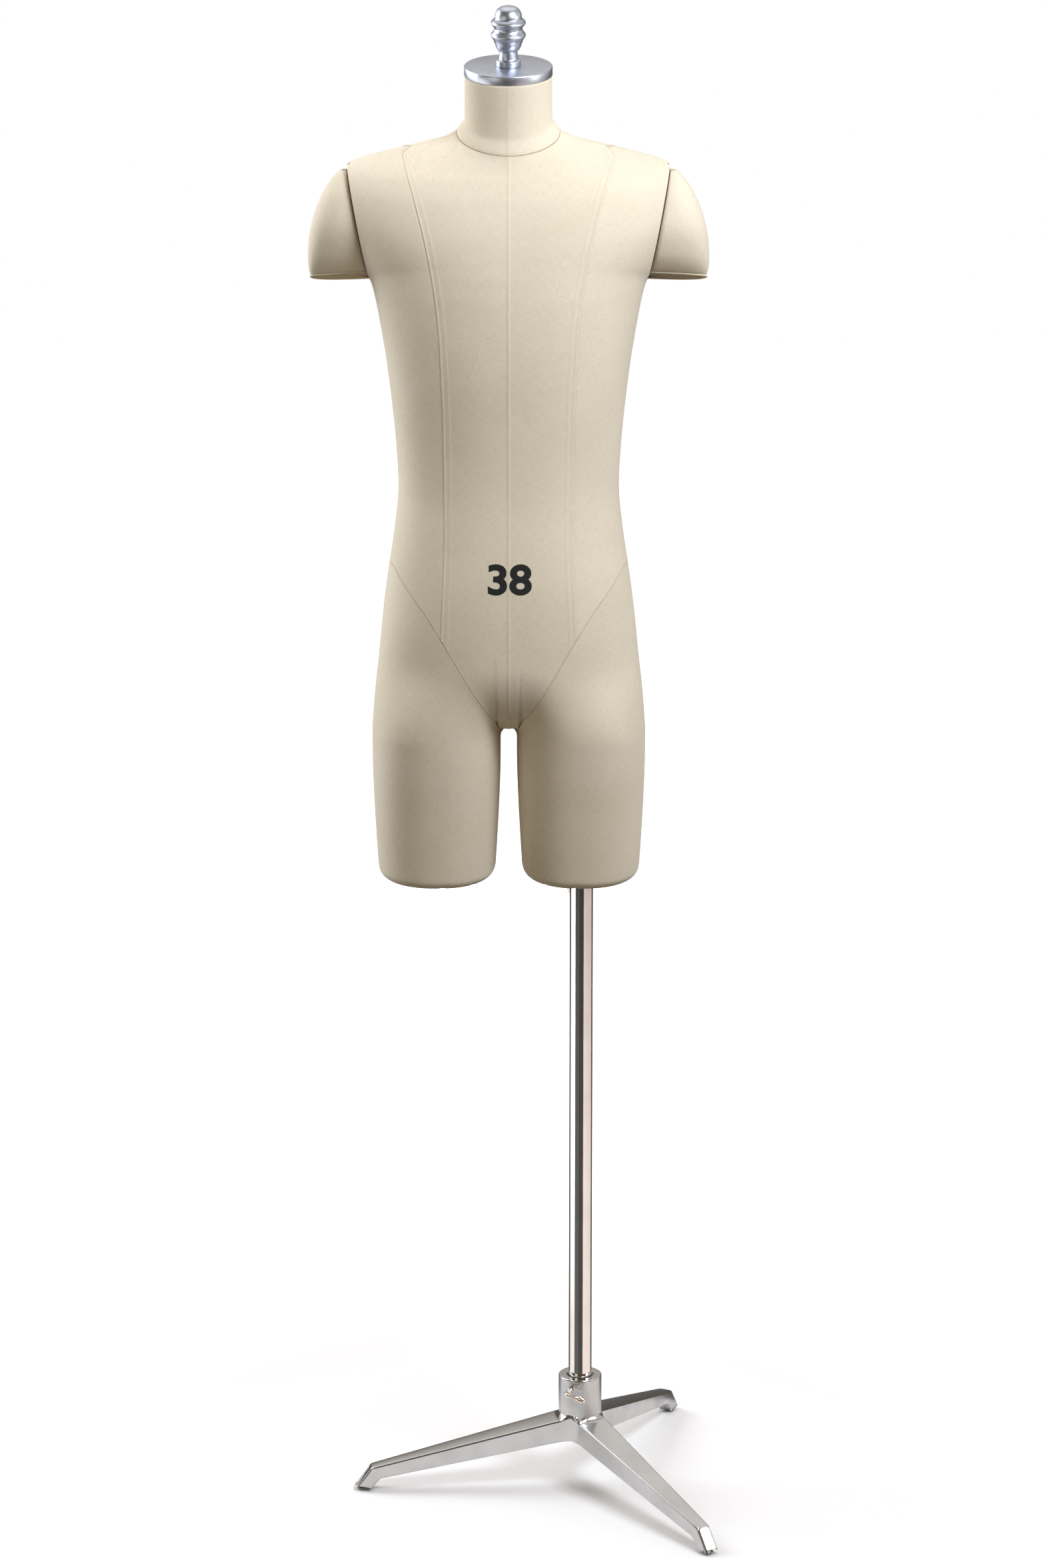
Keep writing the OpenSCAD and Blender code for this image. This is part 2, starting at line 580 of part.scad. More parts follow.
module upper_pole_guide() {
    color(NYLON) on_pole() translate([0, 0, upper_pole_low - 6]) {
        cylinder(d = pole_in_d - 2 * fit, h = 6);
        translate([0, 0, 6]) cylinder(d = upper_pole_d - 2 * pole_wall - 0.1, h = 20);
    }
}

// ---- L handles --------------------------------------------------------------------------------------------
lock_r = 3;
lever_r = 2.35;
lever_len = 22;
tip_d = 9.4;
tip_len = 12;
pole_lock_angle = 109;
base_lock_angle = 243;
stem_out = 37;
base_stem_out = hub_d / 2 + 16;
pole_lever_turn = 0;
base_lever_turn = 81;
// Local +Z points out of the pole along a lock screw, local +X points down
module lock_axis(angle) { rotate([0, 0, angle]) rotate([0, 90, 0]) children(); }
// The screw, its stem and its lever, pressing on a pole of radius inner
module l_handle(inner, thread_end, out, turn) {
    translate([0, 0, inner]) cylinder(r = lock_r, h = thread_end - inner);
    translate([0, 0, thread_end]) cylinder(r = lever_r, h = out - thread_end);
    translate([0, 0, out]) sphere(r = lever_r + 0.2);
    rotate([0, 0, turn]) translate([0, 0, out]) rotate([0, 90, 0]) cylinder(r = lever_r, h = lever_len);
}
module handle_tip(out, turn) {
    rotate([0, 0, turn]) translate([lever_len - 6, 0, out]) rotate([0, 90, 0]) rotate_extrude() polygon([
        [lever_r, 0], [3.6, 0], [tip_d / 2 - 0.3, 1.6], [tip_d / 2, 4], [tip_d / 2, 8], [tip_d / 2 - 1, 10.4],
        [2.6, tip_len - 0.3], [0, tip_len], [0, 6], [lever_r, 6]]);
}
module base_lock_handle() {
    color(NICKEL) on_pole() translate([0, 0, base_lock_z]) lock_axis(base_lock_angle)
        l_handle(pole_d / 2 + 0.1, hub_d / 2 + 2, base_stem_out, base_lever_turn);
}
module base_lock_tip() {
    color(NICKEL) on_pole() translate([0, 0, base_lock_z]) lock_axis(base_lock_angle)
        handle_tip(base_stem_out, base_lever_turn);
}
module pole_lock_handle() {
    color(NICKEL) on_pole() translate([0, 0, lock_z]) lock_axis(pole_lock_angle)
        l_handle(upper_pole_d / 2 + 0.1, collar_d / 2 + 2, stem_out, pole_lever_turn);
}
module pole_lock_tip() {
    color(NICKEL) on_pole() translate([0, 0, lock_z]) lock_axis(pole_lock_angle)
        handle_tip(stem_out, pole_lever_turn);
}

// ---- base ------------------------------------------------------------------------------------------
sole_z = 1;
sole_in = 264;
ankle_r = 262;
ankle_z = 31;
instep_r = 251;
instep_z = 16;
leg_root_r = 16;
leg_root_top = 94;
leg_root_low = 64;
bore_r = pole_d / 2 + fit;

module leg() {
    intersection() {
        rotate([90, 0, 0]) linear_extrude(60, center = true) polygon([
            [leg_root_r, leg_root_top], [ankle_r, ankle_z], [foot_reach, sole_z], [sole_in, sole_z],
            [instep_r, instep_z], [leg_root_r, leg_root_low]]);
        linear_extrude(120) polygon([
            [leg_root_r, -leg_root_w / 2 - 0.5], [ankle_r, -leg_foot_w / 2], [foot_reach + 1, -leg_foot_w / 2],
            [foot_reach + 1, leg_foot_w / 2], [ankle_r, leg_foot_w / 2], [leg_root_r, leg_root_w / 2 + 0.5]]);
    }
}
pad_d = 12;
pad_r = (sole_in + foot_reach) / 2 - 1;
module tripod_base() {
    color(CAST) on_pole() difference() {
        union() {
            rotate_extrude($fn = 96) polygon([
                [0, 62], [20, 62], [25, 65], [27.5, 71], [27.5, 92], [hub_d / 2 + 0.6, 100],
                [hub_d / 2, 108], [hub_d / 2, hub_top_z - 1.2], [hub_d / 2 - 1.2, hub_top_z], [0, hub_top_z]]);
            for (a = LEG_ANGLES) rotate([0, 0, a]) leg();
        }
        translate([0, 0, seat_z]) cylinder(r = bore_r, h = 200);
        translate([0, 0, hub_top_z - 4]) cylinder(r = bore_r + 1.6, h = 10);
        translate([0, 0, base_lock_z]) lock_axis(base_lock_angle) cylinder(r = lock_r + fit, h = 60);
        for (a = LEG_ANGLES) rotate([0, 0, a]) translate([pad_r, 0, -1]) cylinder(d = pad_d, h = sole_z + 3);
    }
}
module foot_pads() {
    color(NYLON) on_pole() for (a = LEG_ANGLES) rotate([0, 0, a]) translate([pad_r, 0, 0])
        cylinder(d = pad_d - 0.2, h = sole_z + 1.9);
}
module pole_seat() {
    color(NYLON) on_pole() translate([0, 0, seat_z]) cylinder(r = bore_r - 0.1, h = seat_t);
}

tripod_base();
foot_pads();
pole_seat();
base_lock_handle();
base_lock_tip();
lower_pole();
lower_pole_plug();
pole_collar();
pole_bush();
pole_lock_handle();
pole_lock_tip();
upper_pole();
upper_pole_guide();
socket_tube();
socket_flange();
socket_screws();
pelvis_board();
spine_post();
shoulder_beam();
left_guide_block();
right_guide_block();
torso_shell();
torso_cover();
left_thigh_shell();
right_thigh_shell();
left_thigh_cover();
right_thigh_cover();
left_leg_board();
right_leg_board();
neck_shell();
neck_cover();
neck_block();
neck_rod();
neck_rod_nut();
neck_cap();
finial();
left_arm_shell();
right_arm_shell();
left_arm_cover();
right_arm_cover();
left_arm_underside();
right_arm_underside();
left_arm_board();
right_arm_board();
left_guide_rods();
right_guide_rods();
left_rod_clips();
right_rod_clips();
left_shoulder_springs();
right_shoulder_springs();
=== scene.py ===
"""Looks for the dress form: sewn linen, polished castings and a white studio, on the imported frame."""
import json
import math

import bmesh
import bpy
import numpy as np
from mathutils import Matrix, Vector


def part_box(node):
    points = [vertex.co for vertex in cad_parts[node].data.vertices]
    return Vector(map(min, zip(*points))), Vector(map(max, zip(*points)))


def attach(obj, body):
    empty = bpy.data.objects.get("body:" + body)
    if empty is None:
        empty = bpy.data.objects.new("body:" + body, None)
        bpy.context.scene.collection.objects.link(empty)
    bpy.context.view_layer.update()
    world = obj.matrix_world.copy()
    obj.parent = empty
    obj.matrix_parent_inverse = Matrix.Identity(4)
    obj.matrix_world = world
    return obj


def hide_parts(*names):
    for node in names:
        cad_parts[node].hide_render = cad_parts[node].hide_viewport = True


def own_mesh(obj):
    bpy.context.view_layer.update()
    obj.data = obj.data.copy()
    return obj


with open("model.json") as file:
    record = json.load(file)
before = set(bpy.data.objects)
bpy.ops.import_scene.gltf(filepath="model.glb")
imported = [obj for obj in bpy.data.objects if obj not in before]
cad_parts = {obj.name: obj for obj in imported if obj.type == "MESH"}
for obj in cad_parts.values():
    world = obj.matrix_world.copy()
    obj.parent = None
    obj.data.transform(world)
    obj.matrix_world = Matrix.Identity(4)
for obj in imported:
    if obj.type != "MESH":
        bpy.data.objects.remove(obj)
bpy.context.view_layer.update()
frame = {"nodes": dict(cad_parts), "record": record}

MM = 0.001


def middle(node):
    """Middle of a CAD node's box, in metres."""
    low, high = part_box(node)
    return (low + high) / 2


pole = middle("lower_pole")
form = Vector((middle("torso_cover").x, pole.y, 0))

# ---- the body's shape, in millimetres from the form's axis, as the solids have it ----------------
CROTCH_Z, LEG_BOTTOM_Z, NECK_SEAM_Z, NECK_TOP_Z = 985, 801, 1709, 1778.5
SLOPE = math.radians(11)
LEAN = math.radians(6.1)
NECK_SHIFT = 7           # how far the neck's top stands to the front of its foot
ARMHOLE_LOW = 1534
ARM_Z = 1604
THIGH_X, THIGH_N, LEG_GAP, LOBE_H = 87.5, 2.3, 10, 100
CROTCH_FILL = 0.14       # the cloth bridges the crease between thigh and torso
ARMHOLE_EASE = 18        # height over which the cloth at the back turns into the armhole
# [height, half width, front depth, back depth, squareness, fall at the front, fall at the back]
BODY = [
    [985, 165, 108, 128, 2.4, 0, 0],
    [1030, 161.5, 114, 135, 2.4, 0, 0],
    [1080, 156, 118, 136, 2.4, 0, 0],
    [1130, 151, 120, 127, 2.4, 0, 0],
    [1180, 144.5, 119, 113, 2.4, 0, 0],
    [1230, 137, 115, 102, 2.4, 0, 0],
    [1280, 132, 111, 97, 2.4, 0, 0],
    [1330, 134, 112, 100, 2.4, 0, 0],
    [1380, 138.5, 116, 108, 2.4, 0, 0],
    [1430, 144.5, 121, 115, 2.4, 0, 0],
    [1480, 152, 124, 121, 2.45, 0.1, 0.1],
    [1530, 162.5, 124, 123, 2.5, 0.28, 0.28],
    [1540, 169.5, 123, 123, 2.5, 0.29, 0.29],
    [1560, 180, 121, 122, 2.5, 0.28, 0.28],
    [1600, 195, 113, 118, 2.4, 0.15, 0.15],
    [1640, 201, 97, 108, 2.25, 0, 0],
    [1664, 197, 81, 98, 2.1, -0.1, 0],
    [1676, 182, 71, 88, 2.0, -0.15, 0],
    [1690, 131, 61, 76, 1.9, -0.24, 0],
    [1701, 82, 57, 64, 1.9, -0.29, -0.02],
    [1709, 60.5, 54.5, 58, 2.0, -0.3, -0.2],
]
# [height, half width, front depth, back depth]
THIGH = [
    [801, 70.5, 84, 88],
    [850, 73.5, 90, 95],
    [900, 76, 96, 104],
    [940, 77.3, 102, 114],
    [985, 77.5, 108, 128],
]
# [height, outer reach]
ARM = [
    [1540, 235], [1550, 237.4], [1566, 238], [1584, 236.6], [1600, 233.6], [1616, 229],
    [1632, 222.4], [1646, 214.4], [1658, 205.2], [1667, 195.5],
]
# [share of the way up the neck, radius]
NECK = [[0, 60.5], [0.05, 56.5], [0.1, 54], [0.2, 52.2], [0.35, 51.6], [1, 51.4]]
# [height, place of the princess seam]
PRINCESS = [
    [985, 83], [1117, 80.5], [1230, 76], [1362, 76.5], [1440, 79], [1515, 84], [1588, 96], [1647, 111.5],
    [1690, 126], [1712, 131],
]
# [place across, height] down the seam between torso and leg, at the front and at the back
LEG_SEAM = {
    -1: [[LEG_GAP, 985], [16, 1008], [48, 1063], [80, 1118], [100, 1148], [118, 1170], [137, 1194]],
    1: [[LEG_GAP, 985], [16, 1004], [48, 1030], [80, 1052], [110, 1085], [137, 1194]],
}


def column(table, z, c):
    """Smooth value of column c of a table whose rows start with a height."""
    t = np.array(table, float)
    z = np.asarray(z, float)
    last = len(t) - 1
    i = np.clip(np.searchsorted(t[:, 0], z, side="right") - 1, 0, last - 1)
    before = np.maximum(np.arange(last + 1) - 1, 0)
    after = np.minimum(np.arange(last + 1) + 1, last)
    slopes = (t[after, c] - t[before, c]) / (t[after, 0] - t[before, 0])
    h = t[i + 1, 0] - t[i, 0]
    u = np.clip((z - t[i, 0]) / h, 0, 1)
    p, q, m, k = t[i, c], t[i + 1, c], slopes[i] * h, slopes[i + 1] * h
    return (2 * p - 2 * q + m + k) * u**3 + (3 * q - 3 * p - 2 * m - k) * u**2 + m * u + p


def superellipse(x, n):
    return np.maximum(1 - np.minimum(1, np.abs(x)) ** n, 0) ** (1 / n)


def armhole_x(z):
    return 166 + (z - 1544) * math.tan(SLOPE)


def depth(side, z, x, half, n):
    """Reach of the body to the front (side -1) or back (side 1): two thighs that grow into a torso."""
    s = np.clip((z - CROTCH_Z) / LOBE_H, 0, 1)
    body = superellipse(x / half, n)
    out = np.abs(x) - THIGH_X
    lobe = superellipse(out / np.where(out > 0, half - THIGH_X, THIGH_X - LEG_GAP), THIGH_N)
    thigh = lobe + (body - lobe) * s * s * (3 - 2 * s)
    saddle = body * np.sqrt(1 - (1 - s) ** 2)
    k = CROTCH_FILL * (1 - s) + 0.001
    h = np.maximum(k - np.abs(thigh - saddle), 0) / k
    return column(BODY, z, 2 if side < 0 else 3) * (np.maximum(thigh, saddle) + h * h * k / 4)


def body_point(zk, q, side, stub=False):
    """Point of section zk of the torso, at share q of the way out to the side.

    The cloth at the back turns into the armhole gradually; a stub's shape meets its plane at once.
    """
    half, n = column(BODY, zk, 1), column(BODY, zk, 4)
    fall = column(BODY, zk, 5 if side < 0 else 6)

    def at_height(z):
        share = 1 if side < 0 or stub else np.clip((zk - ARMHOLE_LOW) / ARMHOLE_EASE, 0, 1)
        # Under the armhole its plane is moved out of the body's way
        edge = armhole_x(zk - (zk - z) * share) + 10 * np.maximum(ARMHOLE_LOW - zk, 0) + (zk < ARMHOLE_LOW)
        x = q * np.minimum(half, edge)
        return x, side * depth(side, z, x, half, n)

    x, y = at_height(zk + 0 * q)
    x, y = at_height(zk - fall * y)
    return np.stack([x, y, zk - fall * y], -1)


LEVELS = np.unique(np.concatenate([
    CROTCH_Z + LOBE_H * np.linspace(0, 1, 48) ** 2,
    np.linspace(CROTCH_Z + LOBE_H, ARMHOLE_LOW - 0.05, 120),
    np.linspace(ARMHOLE_LOW, 1546, 20),
    np.linspace(1546, NECK_SEAM_Z, 120),
]))
SHARES = np.sin(np.linspace(0, math.pi / 2, 280)) ** 0.8
STRIP_STEPS = 160


def unit(v):
    return v / np.maximum(np.linalg.norm(v, axis=-1, keepdims=True), 1e-12)


def lengths_along(points):
    """Distance walked along the last but one axis of an array of points."""
    steps = np.linalg.norm(np.diff(points, axis=-2), axis=-1)
    return np.concatenate([np.zeros(steps.shape[:-1] + (1,)), np.cumsum(steps, -1)], -1)


def lengths_down(points):
    """Distance walked down each column of a grid of points."""
    return lengths_along(points.swapaxes(0, 1)).T


def ring_normals(points, upwards):
    """Normals of a closed skin whose rows of points follow one another upwards (1) or downwards (-1)."""
    along = np.roll(points, -1, 1) - np.roll(points, 1, 1)
    return unit(np.cross(along, upwards * np.gradient(points, axis=0)))


def strips(side):
    """The torso's quarter at +X as two strips from seam to seam: (points and normals, width) by level."""
    surface = body_point(LEVELS[:, None], SHARES[None, :], side)
    normals = unit(np.cross(np.gradient(surface, axis=1), np.gradient(surface, LEVELS, axis=0)) * -side)
    normals[:, 0, 0] = 0
    normals[LEVELS < ARMHOLE_LOW, -1, 1] = 0
    both = np.concatenate([surface, unit(normals)], -1)
    along = lengths_along(surface)
    seam = column(PRINCESS, LEVELS, 1)
    for _ in range(4):
        at_seam = [np.interp(x, line[:, 0], line[:, 2]) for x, line in zip(seam, surface)]
        seam = column(PRINCESS, at_seam, 1)
    seam = np.minimum(seam, surface[:, -1, 0])
    found = []
    for strip in (0, 1):
        rows, widths = [], []
        for level in range(len(LEVELS)):
            cut = np.interp(seam[level], surface[level, :, 0], along[level])
            start, end = (0, cut) if strip == 0 else (cut, along[level, -1])
            where = np.interp(np.linspace(start, end, STRIP_STEPS), along[level], np.arange(len(SHARES)))
            k = np.minimum(where.astype(int), len(SHARES) - 2)
            part = (where - k)[:, None]
            rows.append(both[level, k] * (1 - part) + both[level, k + 1] * part)
            widths.append(end - start)
        found.append((np.array(rows), np.array(widths)))
    return found


def sample(table, zk, share):
    """Points and normals of a strip at levels zk and shares of its width."""
    a = np.clip(np.interp(zk, LEVELS, np.arange(len(LEVELS))), 0, len(LEVELS) - 1.001)
    b = np.clip(share * (STRIP_STEPS - 1), 0, STRIP_STEPS - 1.001)
    i, j = a.astype(int), b.astype(int)
    u, v = (a - i)[..., None], (b - j)[..., None]
    low = table[i, j] * (1 - v) + table[i, j + 1] * v
    high = table[i + 1, j] * (1 - v) + table[i + 1, j + 1] * v
    mixed = low * (1 - u) + high * u
    return mixed[..., :3], unit(mixed[..., 3:])


# Distances from a seam at which a panel has a line of points
EDGE = np.array([0, 0.4, 0.8, 1.3, 2, 3.2, 5, 6.6, 7.6, 8.6, 9.8, 11.5])


def spread(width, inner):
    """Places across a width, close together at its ends: 2 * len(EDGE) + inner of them on the last axis."""
    width = np.asarray(width, float)[..., None]
    edge = EDGE * np.minimum(1, 0.35 * width / EDGE[-1])
    shares = np.linspace(0, 1, inner + 2)[1:-1]
    between = edge[..., -1:] + (width - 2 * edge[..., -1:]) * shares
    return np.concatenate([edge, between, width - edge[..., ::-1]], -1)


def smoothstep(low, high, x):
    t = np.clip((x - low) / (high - low), 0, 1)
    return t * t * (3 - 2 * t)


def bump_at(d, place, width):
    return np.exp(-(((d - place) / width) ** 2))


def ridge(d):
    """A pressed seam that stands a little proud, with the stitching sunk in its middle."""
    return 0.5 * bump_at(d, 0, 1.2) - 0.3 * bump_at(d, 0, 0.35)


def lapped_over(d):
    """The side of a seam that carries the allowance: an edge, and a second one where the allowance ends."""
    return 0.62 * bump_at(d, 0.9, 0.8) + 0.2 * (1 - smoothstep(7, 9.5, d)) * smoothstep(0, 2, d) \
        + 0.22 * bump_at(d, 8, 1.3)


def lapped_under(d):
    """The other side of the same seam."""
    return 0.17 * bump_at(d, 0, 0.5) - 0.4 * bump_at(d, 1, 0.7)


def groove(d):
    """A fine stitched line."""
    return 0.15 * bump_at(d, 1, 0.8) - 0.4 * bump_at(d, 0, 0.5)


# Share of the seam colour, the thread's colour and painted shade, at a distance from a seam's line
def seam_tint(d):
    return bump_at(d, 0, 0.7)


def along_panel(table, widths, zb, top, inner_cols, inner_rows):
    """The points of a panel as a grid, with the distance of each from its seams."""
    rows = spread(top - zb, inner_rows)
    zk = (zb[:, None] + rows).T
    cols = np.arange(len(zb))
    w = np.interp(zk, LEVELS, widths)
    s = spread(w, inner_cols)[:, cols, cols]
    points, normals = sample(table, zk, s / np.maximum(w, 1e-6))
    up = lengths_down(points)
    return zk, points, normals, s, w - s, up, up[-1] - up


# ---- pieces --------------------------------------------------------------------------------------
def grid_faces(rows, cols, flip=False, closed=False):
    faces = []
    for r in range(rows - 1):
        for c in range(cols if closed else cols - 1):
            d = (c + 1) % cols
            quad = [r * cols + c, r * cols + d, (r + 1) * cols + d, (r + 1) * cols + c]
            faces.append(quad[::-1] if flip else quad)
    return faces


def piece(name, points, faces, material, body, slot, replaces=(), uv=None, seam=None, weld=0.0, sharp=None):
    """A mesh object from points in metres in the row frame, riding on a body."""
    mesh = bpy.data.meshes.new(name)
    mesh.from_pydata(np.asarray(points, float).tolist(), [], faces)
    if uv is not None:
        layer = mesh.uv_layers.new(name="cloth")
        at = np.zeros(len(mesh.loops), np.int32)
        mesh.loops.foreach_get("vertex_index", at)
        layer.data.foreach_set("uv", np.asarray(uv, np.float32)[at].ravel())
    if seam is not None:
        # The seam attribute: how much of the seam colour, the thread's colour and painted shade, each point
        # takes
        seam_shade_share = mesh.attributes.new("seam", "FLOAT", "POINT")
        seam_shade_share.data.foreach_set("value", np.asarray(seam, np.float32))
    edit = bmesh.new()
    edit.from_mesh(mesh)
    if weld:
        bmesh.ops.remove_doubles(edit, verts=edit.verts, dist=weld)
        bmesh.ops.dissolve_degenerate(edit, edges=edit.edges, dist=weld / 4)
    for face in edit.faces:
        face.smooth = True
    if sharp is not None:
        for edge in edit.edges:
            if len(edge.link_faces) == 2 and edge.calc_face_angle(0) > math.radians(sharp):
                edge.smooth = False
    edit.to_mesh(mesh)
    edit.free()
    mesh.materials.append(material)
    obj = bpy.data.objects.new(name, mesh)
    bpy.context.scene.collection.objects.link(obj)
    if replaces:
        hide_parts(*replaces)
    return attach(obj, body)


def from_form(points):
    """Millimetres from the form's axis to metres in the row frame."""
    return np.asarray(points, float) * MM + np.array(form)


def side_name(s):
    return "left" if s < 0 else "right"


def on_side(points, s):
    return points * np.array([s, 1, 1])


def sided_piece(name, s, points, faces, *looks):
    """A piece from points in millimetres on the form's +X side, put on side s and named after it."""
    if s < 0:
        faces = [face[::-1] for face in faces]
    return piece(f"{name}_{side_name(s)}", from_form(on_side(points.reshape(-1, 3), s)), faces, *looks)


def cloth_map(across, up):
    """Places on the cloth in metres, from millimetres across and up."""
    return np.stack(np.broadcast_arrays(across, up), -1).reshape(-1, 2) * MM


def capped_faces(rows, cols):
    """Faces of a closed skin of rings with both ends filled."""
    start, end = list(range(cols)), list(range((rows - 1) * cols, rows * cols))
    return grid_faces(rows, cols, closed=True) + [start[::-1], end]


def joined(meshes):
    """Several meshes, each a pair of points and faces, as one pair."""
    points, faces, count = [], [], 0
    for more_points, more_faces in meshes:
        points.append(more_points)
        faces += [[i + count for i in face] for face in more_faces]
        count += len(more_points)
    return np.concatenate(points), faces


def catmull(points, steps):
    """A smooth line through points; a point given twice stays a corner."""
    p = np.array(points, float)
    p = np.vstack([2 * p[0] - p[1], p, 2 * p[-1] - p[-2]])
    t = np.linspace(0, 1, steps, endpoint=False)[:, None]
    found = []
    for a, b, c, d in zip(p[:-3], p[1:-2], p[2:-1], p[3:]):
        if np.allclose(b, c):
            continue
        a, d = (b if np.allclose(a, b) else a), (c if np.allclose(c, d) else d)
        found.append(0.5 * (2 * b + (c - a) * t + (2 * a - 5 * b + 4 * c - d) * t**2
                            + (3 * b - 3 * c + d - a) * t**3))
    return np.vstack(found + [p[-2:-1]])


def turned_mesh(profile, segments):
    """Points and faces of a solid of revolution round +Z from [radius, height], outside upwards."""
    angles = np.linspace(0, 2 * math.pi, segments, endpoint=False)
    points = np.array([[[r * math.cos(a), r * math.sin(a), z] for a in angles] for r, z in profile])
    return points.reshape(-1, 3), grid_faces(len(profile), segments, closed=True)


def lathe(name, profile, place, material, body, slot, replaces, segments, sharp):
    """A piece from a solid of revolution in millimetres, put at a place."""
    points, faces = turned_mesh(profile, segments)
    matrix = np.array(place)
    points = points * MM @ matrix[:3, :3].T + matrix[:3, 3]
    return piece(name, points, faces, material, body, slot, replaces, weld=2e-6, sharp=sharp)


def tube_mesh(path, radius, sides):
    """Points and faces of a round tube along a path, in the path's units; the radius may vary along it."""
    path = np.asarray(path, float)
    radius = np.broadcast_to(np.asarray(radius, float), (len(path),))
    tangents = unit(np.gradient(path, axis=0))
    across = np.cross(tangents[0], [0.31, 0.22, 0.92])
    frames = []
    for t in tangents:
        across = unit(across - t * (across @ t))
        frames.append(np.stack([across, np.cross(t, across)]))
    frames = np.array(frames)
    angles = np.linspace(0, 2 * math.pi, sides, endpoint=False)[None, :, None]
    ring = np.cos(angles) * frames[:, None, 0] + np.sin(angles) * frames[:, None, 1]
    points = (path[:, None] + radius[:, None, None] * ring).reshape(-1, 3)
    return points, capped_faces(len(path), sides)


# ---- materials -----------------------------------------------------------------------------------
def srgb(*colour):
    """Linear colour with alpha from 8-bit sRGB."""
    linear = [c / 255 / 12.92 if c <= 10 else ((c / 255 + 0.055) / 1.055) ** 2.4 for c in colour]
    return (*linear, 1.0)


class Nodes:
    """The node tree of a material or the world, with short ways to add and join nodes."""

    def __init__(self, owner, shader="Principled BSDF"):
        owner.use_nodes = True
        self.owner = owner
        self.tree = owner.node_tree
        self.shader = self.tree.nodes[shader]

    def put(self, socket, value):
        if isinstance(value, bpy.types.NodeSocket):
            self.tree.links.new(value, socket)
        else:
            socket.default_value = value

    def add(self, kind, inputs=(), **settings):
        node = self.tree.nodes.new("ShaderNode" + kind)
        for key, value in settings.items():
            setattr(node, key, value)
        for key, value in dict(inputs).items():
            self.put(node.inputs[key], value)
        return node

    def math(self, operation, a, b=0.0):
        return self.add("Math", {0: a, 1: b}, operation=operation).outputs[0]

    def ramp(self, value, low, high, out_low=0.0, out_high=1.0):
        inputs = {"Value": value, "From Min": low, "From Max": high, "To Min": out_low, "To Max": out_high}
        return self.add("MapRange", inputs, interpolation_type="SMOOTHSTEP").outputs[0]

    def noise(self, vector, scale, detail=2.0, stretch=(1, 1, 1)):
        sizes = tuple(scale * s for s in stretch)
        mapped = self.add("Mapping", {"Vector": vector, "Scale": sizes}).outputs[0]
        return self.add("TexNoise", {"Vector": mapped, "Scale": 1.0, "Detail": detail}).outputs["Fac"]

    def mix(self, share, a, b):
        node = self.add("Mix", {0: share}, data_type="RGBA")
        self.put(node.inputs[6], a)
        self.put(node.inputs[7], b)
        return node.outputs[2]

    def bump(self, height, distance, strength=1.0, normal=None):
        inputs = {"Height": height, "Distance": distance, "Strength": strength}
        if normal is not None:
            inputs["Normal"] = normal
        return self.add("Bump", inputs).outputs[0]

    def finish(self, **inputs):
        for key, value in inputs.items():
            self.put(self.shader.inputs[key.replace("_", " ")], value)
        return self.owner


def new_material(name):
    return Nodes(bpy.data.materials.new(name))


SEAM_TINT = 0.55        # share of the seam colour in the middle of a seam: the thread's colour and painted shade in the seam's groove


def linen(name, colour, shade, seam_thread_and_shade_colour):
    """Woven linen with thread, slubs and knots, darker along its seams with the thread's colour and painted
    shade; its cloth map is in metres.
    """
    n = new_material(name)
    cloth = n.add("UVMap", uv_map="cloth").outputs[0]
    warp = n.noise(cloth, 1, 2.0, (1500, 110, 1))
    weft = n.noise(cloth, 1, 2.0, (110, 1500, 1))
    thread = n.math("ADD", warp, weft)
    slub = n.noise(cloth, 1, 1.0, (55, 700, 1))
    slubs = n.ramp(slub, 0.64, 0.78)
    cells = n.add("TexVoronoi", {"Vector": cloth, "Scale": 34.0, "Randomness": 1.0})
    knot = n.ramp(cells.outputs["Distance"], 0.035, 0.0)
    chosen = n.ramp(n.add("SeparateXYZ", {0: cells.outputs["Color"]}).outputs[0], 0.55, 0.6)
    knots = n.math("MULTIPLY", knot, chosen)
    broad = n.ramp(n.noise(cloth, 9, 3.0), 0.3, 0.7)
    base = n.mix(broad, colour, shade)
    light = n.ramp(thread, 0.7, 1.3, 0.93, 1.05)
    grained = n.add("HueSaturation", {"Color": base, "Value": light}).outputs[0]
    near_seam = n.add("Attribute", attribute_name="seam").outputs["Fac"]
    # Near the seams the colour takes the thread's colour and the painted shade of the seam's groove
    with_seam_thread_and_shade = n.mix(n.math("MULTIPLY", near_seam, SEAM_TINT), grained, seam_thread_and_shade_colour)
    fine = n.bump(thread, 0.00016, 0.8)
    coarse = n.bump(n.math("ADD", n.math("MULTIPLY", slubs, 0.5), knots), 0.00035, 0.8, fine)
    return n.finish(Base_Color=with_seam_thread_and_shade, Roughness=0.88, Normal=coarse, Sheen_Weight=0.18,
                    Sheen_Roughness=0.45, Specular_IOR_Level=0.25)


def metal(name, colour, dull, rough, stretch, scale, grain=0.00002, side_rough=0.0):
    """Polished metal with faint drawing or casting marks; faces that look sideways may be duller."""
    n = new_material(name)
    place = n.add("TexCoord").outputs["Object"]
    marks = n.noise(place, scale * 30, 3.0, stretch)
    clouds = n.noise(place, scale, 3.0)
    roughness = n.ramp(clouds, 0.35, 0.7, *rough)
    if side_rough:
        up = n.add("SeparateXYZ", {0: n.add("NewGeometry").outputs["Normal"]}).outputs[2]
        roughness = n.math("ADD", roughness, n.ramp(n.math("ABSOLUTE", up), 0.35, 0.0, 0.0, side_rough))
    colour = n.mix(n.ramp(clouds, 0.3, 0.75), colour, dull)
    return n.finish(Base_Color=colour, Metallic=1.0, Roughness=roughness, Normal=n.bump(marks, grain, 0.5))


